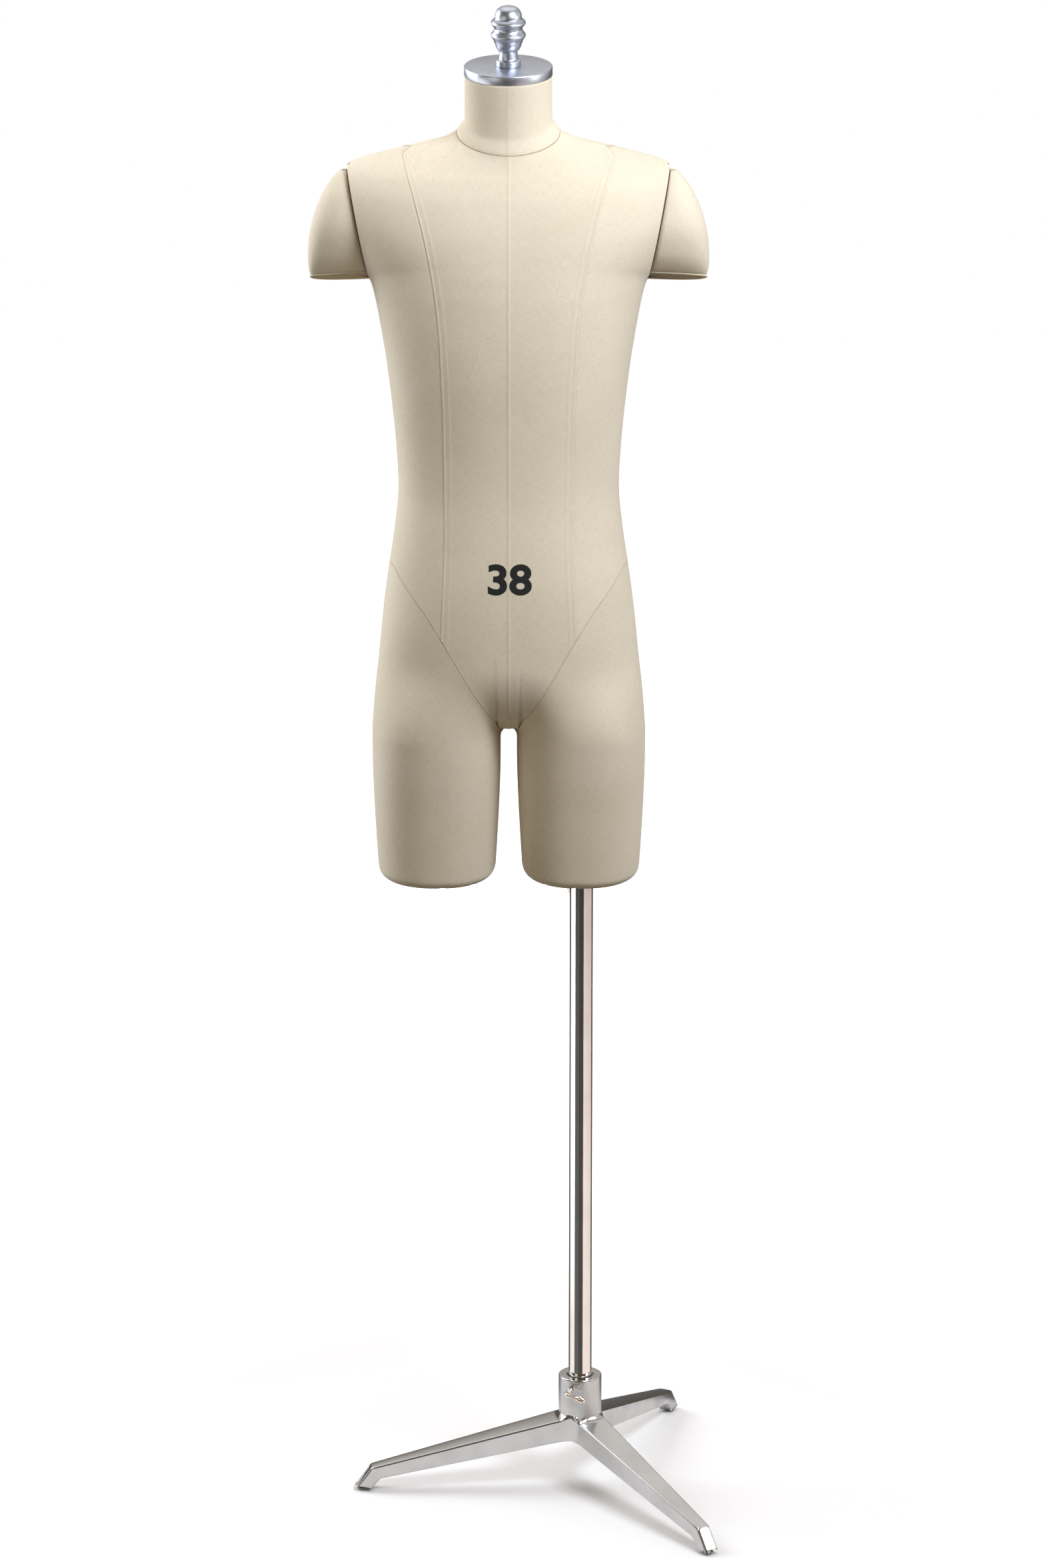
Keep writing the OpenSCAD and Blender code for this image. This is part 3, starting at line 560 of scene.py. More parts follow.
def turned(name, colour, dull, rough, origin, axis):
    """Metal turned on a lathe, with fine rings round an axis."""
    n = new_material(name)
    place = n.add("TexCoord").outputs["Object"]
    out = n.add("VectorMath", {0: place, 1: tuple(origin)}, operation="SUBTRACT").outputs[0]
    cross = n.add("VectorMath", {0: out, 1: tuple(axis)}, operation="CROSS_PRODUCT").outputs[0]
    radius = n.add("VectorMath", {0: cross}, operation="LENGTH").outputs["Value"]
    along = n.add("VectorMath", {0: out, 1: tuple(axis)}, operation="DOT_PRODUCT").outputs["Value"]
    coordinates = n.add("CombineXYZ", {0: radius, 1: along}).outputs[0]
    rings = n.noise(coordinates, 2600, 2.0)
    clouds = n.noise(place, 60, 3.0)
    tone = n.mix(n.ramp(clouds, 0.3, 0.75), colour, dull)
    return n.finish(Base_Color=tone, Metallic=1.0, Roughness=n.ramp(clouds, 0.3, 0.7, *rough),
                    Normal=n.bump(rings, 0.00001, 0.35))


def plain(name, colour, dark, roughness, scale, stretch=(1, 1, 1), bump=0.0002, metallic=0.0):
    """Wood, nylon, moulded shell or wire: a grain of two tones with a bump."""
    n = new_material(name)
    place = n.add("TexCoord").outputs["Object"]
    grain = n.noise(place, scale, 5.0, stretch)
    tone = n.mix(n.ramp(grain, 0.3, 0.7), colour, dark)
    return n.finish(Base_Color=tone, Roughness=roughness, Metallic=metallic,
                    Normal=n.bump(grain, bump, 0.6))


LINEN = linen("linen", srgb(228, 216, 193), srgb(222, 210, 186), srgb(150, 128, 92))
# The stubs' undersides: a darker, warmer copy of the linen, with their shade painted into its colour
LINEN_SHADED_UNDERSIDE = linen("linen_underside_painted_shade", srgb(190, 168, 128), srgb(172, 149, 110), srgb(110, 84, 52))
THREAD = plain("binding", srgb(150, 112, 66), srgb(96, 66, 36), 0.85, 900, bump=0.0001)
neck_axis = Vector((0, -math.sin(LEAN), math.cos(LEAN)))
neck_top = Vector(from_form([0, -NECK_SHIFT, NECK_TOP_Z]))
CAP = turned("turned_aluminium", srgb(196, 200, 210), srgb(182, 187, 198), (0.32, 0.4), neck_top, neck_axis)
CHROME = metal("chrome_tube", srgb(236, 232, 228), srgb(228, 223, 218), (0.015, 0.035), (1, 1, 0.02), 30)
CAST = metal("polished_casting", srgb(200, 199, 198), srgb(188, 187, 186), (0.09, 0.2), (1, 1, 1), 18,
             0.00003, 0.16)
NICKEL = metal("nickel", srgb(226, 214, 204), srgb(212, 198, 186), (0.05, 0.1), (1, 1, 1), 60)
WOOD = plain("wood", srgb(201, 165, 116), srgb(163, 122, 76), 0.6, 60, (1, 1, 0.12))
NYLON = plain("nylon", srgb(186, 186, 184), srgb(166, 166, 165), 0.5, 500, bump=0.00005)
SHELL = plain("moulded_shell", srgb(176, 158, 128), srgb(150, 132, 102), 0.85, 120, bump=0.0004)
STEEL = plain("spring_wire", srgb(190, 190, 192), srgb(150, 150, 154), 0.25, 300, bump=0.00004,
              metallic=1.0)
INK = plain("print_ink", srgb(9, 9, 11), srgb(17, 17, 18), 0.8, 1200, bump=0.00012)

SLOT_MATERIALS = {
    "linen": LINEN, "linen_underside": LINEN_SHADED_UNDERSIDE, "body_shell": SHELL, "wood": WOOD, "pole_chrome": CHROME,
    "nickel": NICKEL, "polished_casting": CAST, "satin_cap": CAP, "nylon": NYLON, "spring_steel": STEEL,
}
for part in frame["record"]["subparts"]:
    node = frame["nodes"][part["node"]]
    node.data.materials.clear()
    node.data.materials.append(SLOT_MATERIALS[part["material_slot"]])

# ---- torso panels --------------------------------------------------------------------------------
PANEL_COLS, PANEL_ROWS = 14, 150
EDGE_R = 0.9            # rounding of the cloth at the armhole
plane_out = np.array([math.cos(SLOPE), 0, -math.sin(SLOPE)])
arm_origin = np.array([armhole_x(ARM_Z), 0, ARM_Z])      # the middle of the armhole
armhole_rim = {}
quarter_tables = {side: strips(side) for side in (-1, 1)}


def leg_seam_z(side, x):
    table = np.array(LEG_SEAM[side], float)
    return np.interp(x, table[:, 0], table[:, 1])


def panel_bottom(side, table, widths, inner):
    """Height of the leg seam under each line of a panel."""
    count = 2 * len(EDGE) + inner
    cols = np.arange(count)
    zb = np.full(count, 1040.0)
    for _ in range(12):
        w = np.interp(zb, LEVELS, widths)
        s = spread(w, inner)[cols, cols]
        points, _ = sample(table, zb, s / w)
        zb = leg_seam_z(side, points[:, 0])
    return zb


def armhole_lip(points, zk):
    """The line of the raw edge, and two more lines of points that turn the cloth into the armhole."""
    edge = points[:, -1]
    towards = arm_origin - edge
    towards = unit(towards - (towards @ plane_out)[:, None] * plane_out)
    inside = (zk[:, -1] >= ARMHOLE_LOW)[:, None]
    first = edge + inside * (towards * 0.9 - plane_out * 0.5)
    second = edge + inside * (towards * 2.4 - plane_out * 3.5)
    return edge + towards * 0.5, np.stack([first, second], 1)


for side in (-1, 1):
    for strip in (0, 1):
        table, widths = quarter_tables[side][strip]
        zb = panel_bottom(side, table, widths, PANEL_COLS)
        zk, points, normals, from_low, from_high, up, down = along_panel(
            table, widths, zb, NECK_SEAM_Z, PANEL_COLS, PANEL_ROWS)
        near_leg = up * np.where(points[:, :, 0] < LEG_GAP, 1, 0.55)
        open_edge = (strip == 1) & (zk >= ARMHOLE_LOW)
        side_seam = np.where(open_edge, 99, from_high)
        low_seam, high_seam = (ridge, lapped_over) if strip == 0 else (lapped_under, ridge)
        height = low_seam(from_low) + high_seam(side_seam) + groove(near_leg) + groove(down)
        # Painted shade and the thread's colour along the seams: faint at the centre, princess and side
        # seams, stronger at the leg seam, full at the neck seam
        tint = np.maximum.reduce([
            0.2 * seam_tint(from_low), 0.25 * seam_tint(side_seam), 0.6 * seam_tint(near_leg),
            seam_tint(down)])
        rounding = np.clip(EDGE_R - from_high, 0, EDGE_R)
        height = height - open_edge * (EDGE_R - np.sqrt(EDGE_R**2 - rounding**2))
        # Above the shoulder's end of the seam the outer strip has no width left
        points = points + normals * (height * smoothstep(0, 4, from_low + from_high))[..., None]
        u = from_low + (0 if strip == 0 else 400) + side * 900
        if strip == 1:
            rim, lip = armhole_lip(points, zk)
            points = np.concatenate([points, lip], 1)
            u = np.concatenate([u, u[:, -1:] + 1, u[:, -1:] + 4], 1)
            zk = np.concatenate([zk, zk[:, -1:], zk[:, -1:]], 1)
            tint = np.concatenate([tint, np.zeros((len(tint), 2))], 1)
            keep = (zk[:, -1] >= ARMHOLE_LOW) & (from_low[:, -1] > 2)
            armhole_rim[side] = rim[keep]
        rows, cols = points.shape[:2]
        for s in (-1, 1):
            name = f"linen_{'front' if side < 0 else 'back'}_{'side' if strip else 'centre'}"
            sided_piece(name, s, points, grid_faces(rows, cols, side > 0), LINEN, "form", "linen",
                        ["torso_cover"], cloth_map(s * u, zk), tint.ravel(), 2e-6)

# ---- the moulded shell behind the linen ----------------------------------------------------------
SHELL_OUT, SHELL_IN = 1.9, 7.0
SHELL_STEP = 6          # share of the panels' levels and columns that the shell uses


def shell_skin(inset):
    """Rings of the torso at a distance behind the linen, anticlockwise from the side at -X."""
    levels = np.unique(np.append(np.arange(1, len(LEVELS) - 1, SHELL_STEP), len(LEVELS) - 2))
    halves = []
    for side in (-1, 1):
        across = [quarter_tables[side][strip][0][levels][:, ::SHELL_STEP] for strip in (0, 1)]
        across = np.concatenate([across[0], across[1][:, 1:]], 1)
        points = across[..., :3] - inset * across[..., 3:]
        mirrored = (points * [-1, 1, 1])[:, :0:-1]
        halves.append(np.concatenate([mirrored, points], 1)[:, ::-side])
    return np.concatenate(halves, 1), LEVELS[levels]


outer, shell_levels = shell_skin(SHELL_OUT)
inner, _ = shell_skin(SHELL_IN)
rows, cols = outer.shape[:2]
gaps = (cols // 2 - 1, cols - 1)        # the columns that run from the front's edge to the back's
faces = []
for r in range(rows):
    for c in range(cols):
        a, b = r * cols + c, r * cols + (c + 1) % cols
        below, above = a + rows * cols, b + rows * cols
        open_here = c in gaps and shell_levels[r] >= ARMHOLE_LOW
        if r in (0, rows - 1) or (open_here and shell_levels[r - 1] < ARMHOLE_LOW):
            faces.append([a, b, above, below])
        if r == rows - 1:
            continue
        if open_here:
            faces += [[a, a + cols, below + cols, below], [b, b + cols, above + cols, above]]
        else:
            faces += [[a, b, b + cols, a + cols], [below, below + cols, above + cols, above]]
piece("moulded_torso_shell", from_form(np.concatenate([outer.reshape(-1, 3), inner.reshape(-1, 3)])), faces,
      SHELL, "form", "body_shell", ["torso_shell"], weld=2e-6, sharp=60)

# ---- half legs -----------------------------------------------------------------------------------
LEG_COLS, LEG_TOP_ROWS, LEG_ROWS = 44, 24, 44
LEG_ROUND = 11
UNDER_RISE, POLE_HOLE_R = 0.8, 13      # the flat cloth under a leg, and its hole round the upper pole
ARCH = 5.5              # rounding of the top of the gap between the legs
PLEATS = [(0.30, 1.0), (0.47, 0.8), (0.62, 0.5), (0.83, 0.7)]      # share of the way round the front, depth


def leg_columns(side):
    """Places of the lines down a leg's front or back, from the inside out, and their distance along it."""
    x = LEG_GAP + (column(BODY, CROTCH_Z, 1) - LEG_GAP) * (1 - np.cos(np.linspace(0, math.pi, 600))) / 2
    half = THIGH_X - LEG_GAP
    y = column(THIGH, CROTCH_Z, 2 if side < 0 else 3) * superellipse((x - THIGH_X) / half, THIGH_N)
    along = lengths_along(np.stack([x, y], -1))
    s = spread(along[-1], LEG_COLS)
    return np.interp(s, along, x), s


def leg_grid(side):
    """Rows from the leg seam down to the hem, columns from the inner seam to the side seam."""
    top_x, s = leg_columns(side)
    q = top_x / column(BODY, CROTCH_Z, 1)
    top = np.full(len(q), 1040.0)
    for _ in range(12):
        top = leg_seam_z(side, body_point(top, q, side)[:, 0])
    top = np.maximum(top, CROTCH_Z + 0.4)
    drop = spread(top - CROTCH_Z, LEG_TOP_ROWS)
    upper = [body_point(top - drop[:, k], q, side) for k in range(drop.shape[1])]
    dy = 2 if side < 0 else 3
    low = np.concatenate([
        np.linspace(CROTCH_Z, LEG_BOTTOM_Z + LEG_ROUND, LEG_ROWS)[1:],
        LEG_BOTTOM_Z + LEG_ROUND * (1 - np.sin(np.linspace(0, math.pi / 2, 11)[1:]))])
    lower = []
    for z in low:
        h = max(0, LEG_ROUND - (z - LEG_BOTTOM_Z))
        inset = LEG_ROUND - math.sqrt(max(0, LEG_ROUND**2 - h**2))
        half = column(THIGH, z, 1) - inset
        across = (top_x - THIGH_X) / (THIGH_X - LEG_GAP)
        y = side * (column(THIGH, z, dy) - inset) * superellipse(across, THIGH_N)
        arch = ARCH * smoothstep(CROTCH_Z - 14, CROTCH_Z, z) ** 2 * (1 - smoothstep(0, 14, s))
        lower.append(np.stack([THIGH_X + across * half - arch, y, np.full(len(y), z)], -1))
    points = np.array(upper + lower)
    return points, s, lengths_down(points)


def leg_underside(hem, s):
    """Rings under a leg from its hem to the middle, or on the pole's side to a hole round the pole."""
    if s > 0:
        centre = np.array([(pole.x - form.x) / MM, 0, LEG_BOTTOM_Z + UNDER_RISE])
        end = unit((hem - centre) * [1, 1, 0]) * POLE_HOLE_R + centre
    else:
        end = np.broadcast_to([THIGH_X, 2, LEG_BOTTOM_Z + UNDER_RISE], hem.shape)
    rings = [end + (hem - end) * share for share in (0.97, 0.9, 0.6, 0.3, 0)]
    for ring, rise in zip(rings, (0, 1, 1, 1, 1)):
        ring[:, 2] = LEG_BOTTOM_Z + UNDER_RISE * rise
    return np.array(rings)


for s in (-1, 1):
    front, front_along, front_down = leg_grid(-1)
    back, back_along, back_down = leg_grid(1)
    side_at = front_along[-1]
    total = side_at + back_along[-1]
    # Anticlockwise from above: from the inner seam round the front to the side seam, and round the back
    points = np.concatenate([front, back[:, -2:0:-1]], 1)
    around = np.concatenate([front_along, total - back_along[-2:0:-1]])
    down = np.concatenate([front_down, back_down[:, -2:0:-1]], 1)
    normals = ring_normals(points, -1)
    to_seam = np.minimum.reduce([np.abs(around - side_at), around, total - around])
    height = ridge(to_seam)[None] + groove(down * 0.55)
    # Painted shade and the thread's colour along the leg's side and inner seams, stronger along the seam at
    # its top
    tint = np.maximum(0.25 * seam_tint(to_seam)[None], 0.6 * seam_tint(down * 0.55))
    z = points[..., 2]
    for place, deep in PLEATS:
        crease = np.exp(-(((around - place * side_at) / 1.6) ** 2))
        height = height - 1.1 * deep * crease[None] * smoothstep(LEG_BOTTOM_Z + 15, LEG_BOTTOM_Z + 2, z)
    apart = np.linalg.norm(points - np.roll(points, 1, 1), axis=-1)
    sunk = smoothstep(0, 3, down) * smoothstep(0, 1.5, apart + 1.2)
    points = points + normals * (height * np.maximum(sunk, down < 0.01))[..., None]
    under = leg_underside(points[-1], s)
    points = np.concatenate([points, under], 0)
    rows, cols = points.shape[:2]
    v = np.concatenate([z, z[-1:] - 12 * np.arange(1, len(under) + 1)[:, None]], 0)
    tint = np.concatenate([tint, np.zeros((len(under), cols))], 0)
    sided_piece("linen_leg", s, points, grid_faces(rows, cols, True, True), LINEN, "form", "linen",
                [f"{side_name(s)}_thigh_cover"], cloth_map(s * (around + 2000), v), tint.ravel(), 2e-6)

# ---- neck ----------------------------------------------------------------------------------------
NECK_QUARTER = 26       # lines up each quarter of the neck


def neck_seam_ring():
    """The seam under the neck, anticlockwise from the middle of the front."""
    found = []
    for side, s in ((-1, 1), (1, 1), (1, -1), (-1, -1)):
        line = body_point(np.full(len(SHARES), float(NECK_SEAM_Z)), SHARES, side)
        along = lengths_along(line)
        at = np.linspace(0, along[-1], NECK_QUARTER, endpoint=False)
        if side * s > 0:
            at = along[-1] - at
        found.append(np.stack([np.interp(at, along, line[:, c]) for c in range(3)], -1) * [s, 1, 1])
    return np.concatenate(found)


seam_ring = neck_seam_ring()
bearing = np.arctan2(seam_ring[:, 1], seam_ring[:, 0])
neck_rows = np.concatenate([np.array([0, 0.4, 0.8, 1.3, 2, 3.2, 5]) / 70, np.linspace(0.1, 1, 26)])
points = []
for u in neck_rows:
    w = min(1, u / 0.2)
    r = float(column(NECK, u, 1))
    top_y = r * np.sin(bearing)
    points.append(np.stack([
        (1 - w) * seam_ring[:, 0] + w * r * np.cos(bearing),
        (1 - w) * seam_ring[:, 1] + w * top_y * (u * math.cos(LEAN) + 1 - u) - u * NECK_SHIFT,
        (1 - u) * seam_ring[:, 2] + u * (NECK_TOP_Z + top_y * math.sin(LEAN))], -1))
points = np.array(points)
normals = ring_normals(points, 1)
up = lengths_down(points)
back_seam = np.abs(np.arange(points.shape[1]) - 2 * NECK_QUARTER) * 3.2
d = np.minimum(up, back_seam[None] + 0.3)
points = points + normals * 0.4 * groove(up)[..., None]
turn_in = points[-1] * [0.97, 0.97, 1] + [0, -0.2, 0.05]
points = np.concatenate([points, turn_in[None]], 0)
rows, cols = points.shape[:2]
v = np.concatenate([up, up[-1:] + 2], 0) + NECK_SEAM_Z
around = lengths_along(seam_ring) + 3000
# Painted shade and the thread's colour along the neck seam and the seam at the back
tint = np.concatenate([0.45 * seam_tint(d), np.zeros((1, cols))], 0)
piece("linen_neck", from_form(points.reshape(-1, 3)), grid_faces(rows, cols, closed=True), LINEN, "form",
      "linen", ["neck_cover"], cloth_map(around, v), tint.ravel())

# ---- arm stubs -----------------------------------------------------------------------------------
ARM_INSET, ARM_GAP, ARM_LOW, ARM_TOP = 4.6, 1.8, 1540, 1665
ARM_N, ARM_FALL, ARM_DROP = 2.5, 0.31, 0.045
ARM_STEPS = 72
UNDER_OUT, UNDER_BACK = 22, 8      # middle of the underside: outwards from the armhole, and to the back


def arm_ring(zk):
    """A stub's section at height zk, from its front inner edge round the outside to its back inner edge."""
    level = np.array([zk + ARM_INSET * min(1.25, max(-0.4, (zk - ARM_Z) / 40))])
    edges = [body_point(level, np.array([1.0]), side, stub=True) for side in (-1, 1)]
    front, back = (max(0.6, abs(float(edge[0, 1])) - ARM_INSET) for edge in edges)
    reach = max(1.0, float(column(ARM, zk, 1)) - armhole_x(zk) - ARM_GAP)
    fade = min(1, max(0, 1 - (zk - ARM_LOW) / 110))
    a = np.linspace(0, math.pi, ARM_STEPS)
    out = reach * np.sin(a).clip(0) ** (2 / ARM_N)
    c = np.cos(a)
    y = np.where(c > 0, -front, back) * np.abs(c) ** (2 / ARM_N)
    z = zk - fade * (ARM_FALL * y + ARM_DROP * out)
    return np.stack([armhole_x(z) + ARM_GAP + out, y, z], -1)


def arm_pieces(s):
    """The cloth of one stub: its skin, underside, piping and raw edge."""
    body = f"{side_name(s)}_arm"
    heights = np.concatenate([ARM_LOW + np.array([0, 1.2, 2.6, 4.2, 6]), np.linspace(1548, 1656, 40),
                              np.linspace(1657, ARM_TOP, 12)])
    points = np.array([arm_ring(z) for z in heights])
    # The skin turns in behind the armhole along both edges and closes over the top
    inward = unit(arm_origin - points[:, [0, -1]])
    first = points[:, [0, -1]] + inward * 1.2 - plane_out * 0.5
    second = points[:, [0, -1]] + inward * 5 - plane_out * 0.4
    crown = points[-1:] * [1, 0.35, 1] - [[[1.2, 0, 0.6]]]
    whole = np.concatenate([second[:, :1], first[:, :1], points, first[:, 1:], second[:, 1:]], 1)
    crown = np.concatenate([whole[-1:, :2], crown, whole[-1:, -2:]], 1)
    whole = np.concatenate([whole, crown], 0)
    rows, cols = whole.shape[:2]
    around = lengths_along(whole[20])
    low = np.concatenate([heights - ARM_LOW, [200]])
    # Painted shade and the thread's colour along the stub's lower edge
    tint = np.repeat(seam_tint(low * 0.6), cols)
    sided_piece("linen_arm", s, whole, grid_faces(rows, cols), LINEN, body, "linen", [f"{body}_cover"],
                cloth_map(s * around + 4000, whole[..., 2]), tint, 2e-6)

    # The underside: a panel gathered a little towards its middle
    rim = points[0]
    centre = np.array([rim[0, 0] + UNDER_OUT, UNDER_BACK, ARM_LOW - ARM_FALL * UNDER_BACK + 0.5])
    shares = np.concatenate([[0, 0.02, 0.05], np.linspace(0.1, 1, 14)])
    folds = np.sin(np.linspace(0, 9 * math.pi, ARM_STEPS)) * 0.25
    rings = []
    for t in shares:
        ring = rim + (centre - rim) * t
        ring[:, 2] += 0.15 + 0.9 * math.sin(math.pi * min(1, t * 1.2)) * 0.5 + folds * t * (1 - t) * 2
        rings.append(ring)
    rings = np.array(rings)
    rows, cols = rings.shape[:2]
    # The underside's linen is the copy with the stubs' shade painted in, and painted shade and the thread's
    # colour run along its rim by the piping
    sided_piece("linen_underside", s, rings, grid_faces(rows, cols, True), LINEN_SHADED_UNDERSIDE, body,
                "linen_underside", [f"{body}_underside"], cloth_map(rings[..., 0], rings[..., 1]),
                np.repeat(seam_tint(shares * 40), cols), 2e-6)

    # Piping along the lower edge, and the raw edge beside the slit
    piping, faces = tube_mesh(rim + unit(rim - [rim[:, 0].mean(), 0, rim[:, 2].mean()]) * 0.3, 1.15, 10)
    sided_piece("linen_piping", s, piping, faces, LINEN, body, "linen", (), piping[:, 1:] * MM + 5,
                np.zeros(len(piping)))
    edge = np.concatenate([first[:-4, 0], first[:-4, 1][::-1]])
    sided_piece("raw_edge_arm", s, *tube_mesh(edge, 0.5, 8), THREAD, body, "linen_underside")


for s in (-1, 1):
    arm_pieces(s)
    rim = np.concatenate([armhole_rim[-1], armhole_rim[1][::-1]])
    sided_piece("raw_edge_torso", s, *tube_mesh(rim, 0.55, 8), THREAD, "form", "linen_underside")

# ---- shoulder springs ----------------------------------------------------------------------------
BLOCK_OUT, BOARD_IN, ROD_Y, ARM_TRAVEL = -48, 3.1, 29, 38
COIL_R, WIRE_R, COIL_TURNS = 6.5, 0.85, 9
plane_down = np.array([-math.sin(SLOPE), 0, -math.cos(SLOPE)])
t = np.linspace(0, 1, COIL_TURNS * 28)
climb = BLOCK_OUT + WIRE_R + (BOARD_IN - BLOCK_OUT - 2 * WIRE_R) * smoothstep(-0.08, 1.08, t)
a = 2 * math.pi * COIL_TURNS * t[:, None]
coils = [tube_mesh(arm_origin + [0, y, 0] + climb[:, None] * plane_out
                   + COIL_R * (np.cos(a) * plane_down + np.sin(a) * [0, 1, 0]), WIRE_R, 8)
         for y in (-ROD_Y, ROD_Y)]
for s in (-1, 1):
    obj = sided_piece("coil_springs", s, *joined(coils), STEEL, "form", "spring_steel",
                      [f"{side_name(s)}_shoulder_springs"])
    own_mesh(obj)

# ---- neck cap and finial -------------------------------------------------------------------------
CAP_R, CAP_T = 52, 11.2
neck_place = Matrix.Translation(neck_top) @ Matrix.Rotation(LEAN, 4, "X")
lathe("cap_disc", [
    [5.2, 0.1], [CAP_R - 0.9, 0.1], [CAP_R - 0.3, 0.35], [CAP_R, 1], [CAP_R, CAP_T - 1.3],
    [CAP_R - 0.25, CAP_T - 0.6], [CAP_R - 0.8, CAP_T - 0.12], [CAP_R - 1.5, CAP_T], [5.2, CAP_T]],
    neck_place, CAP, "form", "satin_cap", ["neck_cap"], 192, 50)
FINIAL = [
    [12.5, 0.05], [14.3, 0.05], [14.8, 0.6], [14.8, 0.6], [14.8, 6.6], [14.8, 6.6], [14.3, 7.2],
    [12.4, 7.6], [11.4, 8.6], [11, 10.5], [10.9, 14], [11, 17.2], [11.2, 18], [11.2, 18], [12.6, 19.2],
    [14.2, 21.8], [15.4, 25], [15.9, 27.6], [15.9, 27.6], [16.6, 28.2], [17.2, 30.4], [18.6, 33.2],
    [20.1, 35.4], [20.5, 37], [20.1, 38.6], [18.4, 40.8], [17, 42.8], [16.6, 44.4], [17, 46],
    [18.6, 48.4], [20.1, 50.4], [20.5, 51.8], [20.1, 53.2], [18.4, 55], [16.6, 56.4], [15.8, 57.6],
    [15.8, 57.6], [15.9, 59.4], [15.4, 62.4], [14, 65.6], [11.8, 68.3], [8.8, 70.2], [5, 71.2],
    [0.01, 71.5],
]
finial_place = neck_place @ Matrix.Translation((0, 0, (CAP_T + 0.05) * MM))
lathe("finial_turned", catmull(FINIAL, 6), finial_place, CAP, "finial", "satin_cap", ["finial"], 128, 38)

# ---- poles ---------------------------------------------------------------------------------------
POLE_R, UPPER_R = 14.3, 11.1
COLLAR_LOW, COLLAR_HIGH, COLLAR_R = 787, 799, 20
LOCK_Z, BASE_LOCK_Z = 793, 133
HUB_R, HUB_TOP = 26.75, 146
pole_place = Matrix.Translation((pole.x, pole.y, 0))
low, high = (corner.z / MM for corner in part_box("lower_pole"))
lathe("pole_tube", [[POLE_R - 1.6, low], [POLE_R, low + 0.4], [POLE_R, high - 0.4], [POLE_R - 0.5, high],
                    [POLE_R - 1.6, high]],
      pole_place, CHROME, "pole", "pole_chrome", ["lower_pole"], 160, 30)
low, high = (corner.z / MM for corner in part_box("upper_pole"))
lathe("pole_tube_upper", [[UPPER_R - 1.6, low], [UPPER_R, low], [UPPER_R, high], [UPPER_R - 1.6, high]],
      pole_place, CHROME, "form", "pole_chrome", ["upper_pole"], 128, 30)
lathe("clamp_collar", [
    [POLE_R + 0.02, COLLAR_LOW], [COLLAR_R - 1.2, COLLAR_LOW], [COLLAR_R - 0.3, COLLAR_LOW + 0.4],
    [COLLAR_R, COLLAR_LOW + 1.2], [COLLAR_R, COLLAR_HIGH - 1.2], [COLLAR_R - 0.3, COLLAR_HIGH - 0.4],
    [COLLAR_R - 1.2, COLLAR_HIGH], [UPPER_R + 0.4, COLLAR_HIGH], [UPPER_R + 0.4, COLLAR_HIGH - 2]],
    pole_place, CHROME, "pole", "pole_chrome", ["pole_collar"], 128, 50)

# ---- L handles -----------------------------------------------------------------------------------
LOCK_R, LEVER_R, TIP_R, TIP_LEN, BEND_R = 3, 2.35, 4.7, 12, 5


def l_handle(prefix, z, angle, inner, out, turn, length, body, handle_node, tip_node):
    """A lock screw whose stem bends into a lever with a turned tip."""
    angle, turn = math.radians(angle), math.radians(turn)
    stem = np.array([math.cos(angle), math.sin(angle), 0])
    lever = math.cos(turn) * np.array([0, 0, -1]) + math.sin(turn) * np.array([-stem[1], stem[0], 0])
    start = np.array([pole.x, pole.y, 0]) / MM + [0, 0, z]
    corner = start + out * stem
    bend = [corner + BEND_R * ((math.sin(t) - 1) * stem + (1 - math.cos(t)) * lever)
            for t in np.linspace(0, math.pi / 2, 12)]
    path = np.array([start + inner * stem, start + (out - BEND_R - 4) * stem] + bend
                    + [corner + lever * (length - 5)])
    radius = np.array([LOCK_R, LOCK_R] + [LEVER_R] * (len(path) - 2))
    path = np.insert(path, 2, path[1] + stem * 0.6, axis=0)
    radius = np.insert(radius, 2, LEVER_R)
    points, faces = tube_mesh(path, radius, 32)
    piece(f"{prefix}_lever", points * MM, faces, NICKEL, body, "nickel", [handle_node], sharp=50)
    place = Matrix.Translation(Vector((corner + lever * (length - 6)) * MM))
    place = place @ Vector(lever).to_track_quat("Z", "Y").to_matrix().to_4x4()
    profile = catmull([
        [LEVER_R, 0], [3.3, 0.1], [3.7, 0.7], [3.7, 0.7], [3.3, 1.6], [3.2, 2], [3.2, 2], [4.2, 2.9],
        [4.65, 4.4], [TIP_R, 6], [4.6, 7.8], [4.2, 8.6], [4.2, 8.6], [4, 9], [3.9, 10.2], [3.1, 11.4],
        [1.6, 11.9], [0.01, TIP_LEN]], 5)
    lathe(f"{prefix}_lever_tip", profile, place, NICKEL, body, "nickel", [tip_node], 64, 40)


l_handle("hub_lock", BASE_LOCK_Z, 243, POLE_R + 0.1, HUB_R + 16, 81, 22, "base_lock", "base_lock_handle",
         "base_lock_tip")
l_handle("collar_lock", LOCK_Z, 109, UPPER_R + 0.1, 37, 0, 25, "pole_lock", "pole_lock_handle",
         "pole_lock_tip")

# ---- base ----------------------------------------------------------------------------------------
LEG_ANGLES = [184.5, 304.5, 64.5]
FOOT_REACH, ANKLE_R, ANKLE_Z, INSTEP_R, INSTEP_Z, SOLE_IN, SOLE_Z = 284.5, 262, 31, 251, 16, 264, 1
ROOT_R, ROOT_TOP, ROOT_LOW, ROOT_W, FOOT_W = 16, 94, 64, 40, 19
WEB_R, WEB_START = 30, 28.8      # rounding between two legs, and where along a leg it starts
SCOOP_R = 6                      # rounding between a leg's top and the hub
CORNER_R, CORNER_STEPS, CROWN = 2.4, 5, 0.35      # a leg's corners, and how far its top face bulges


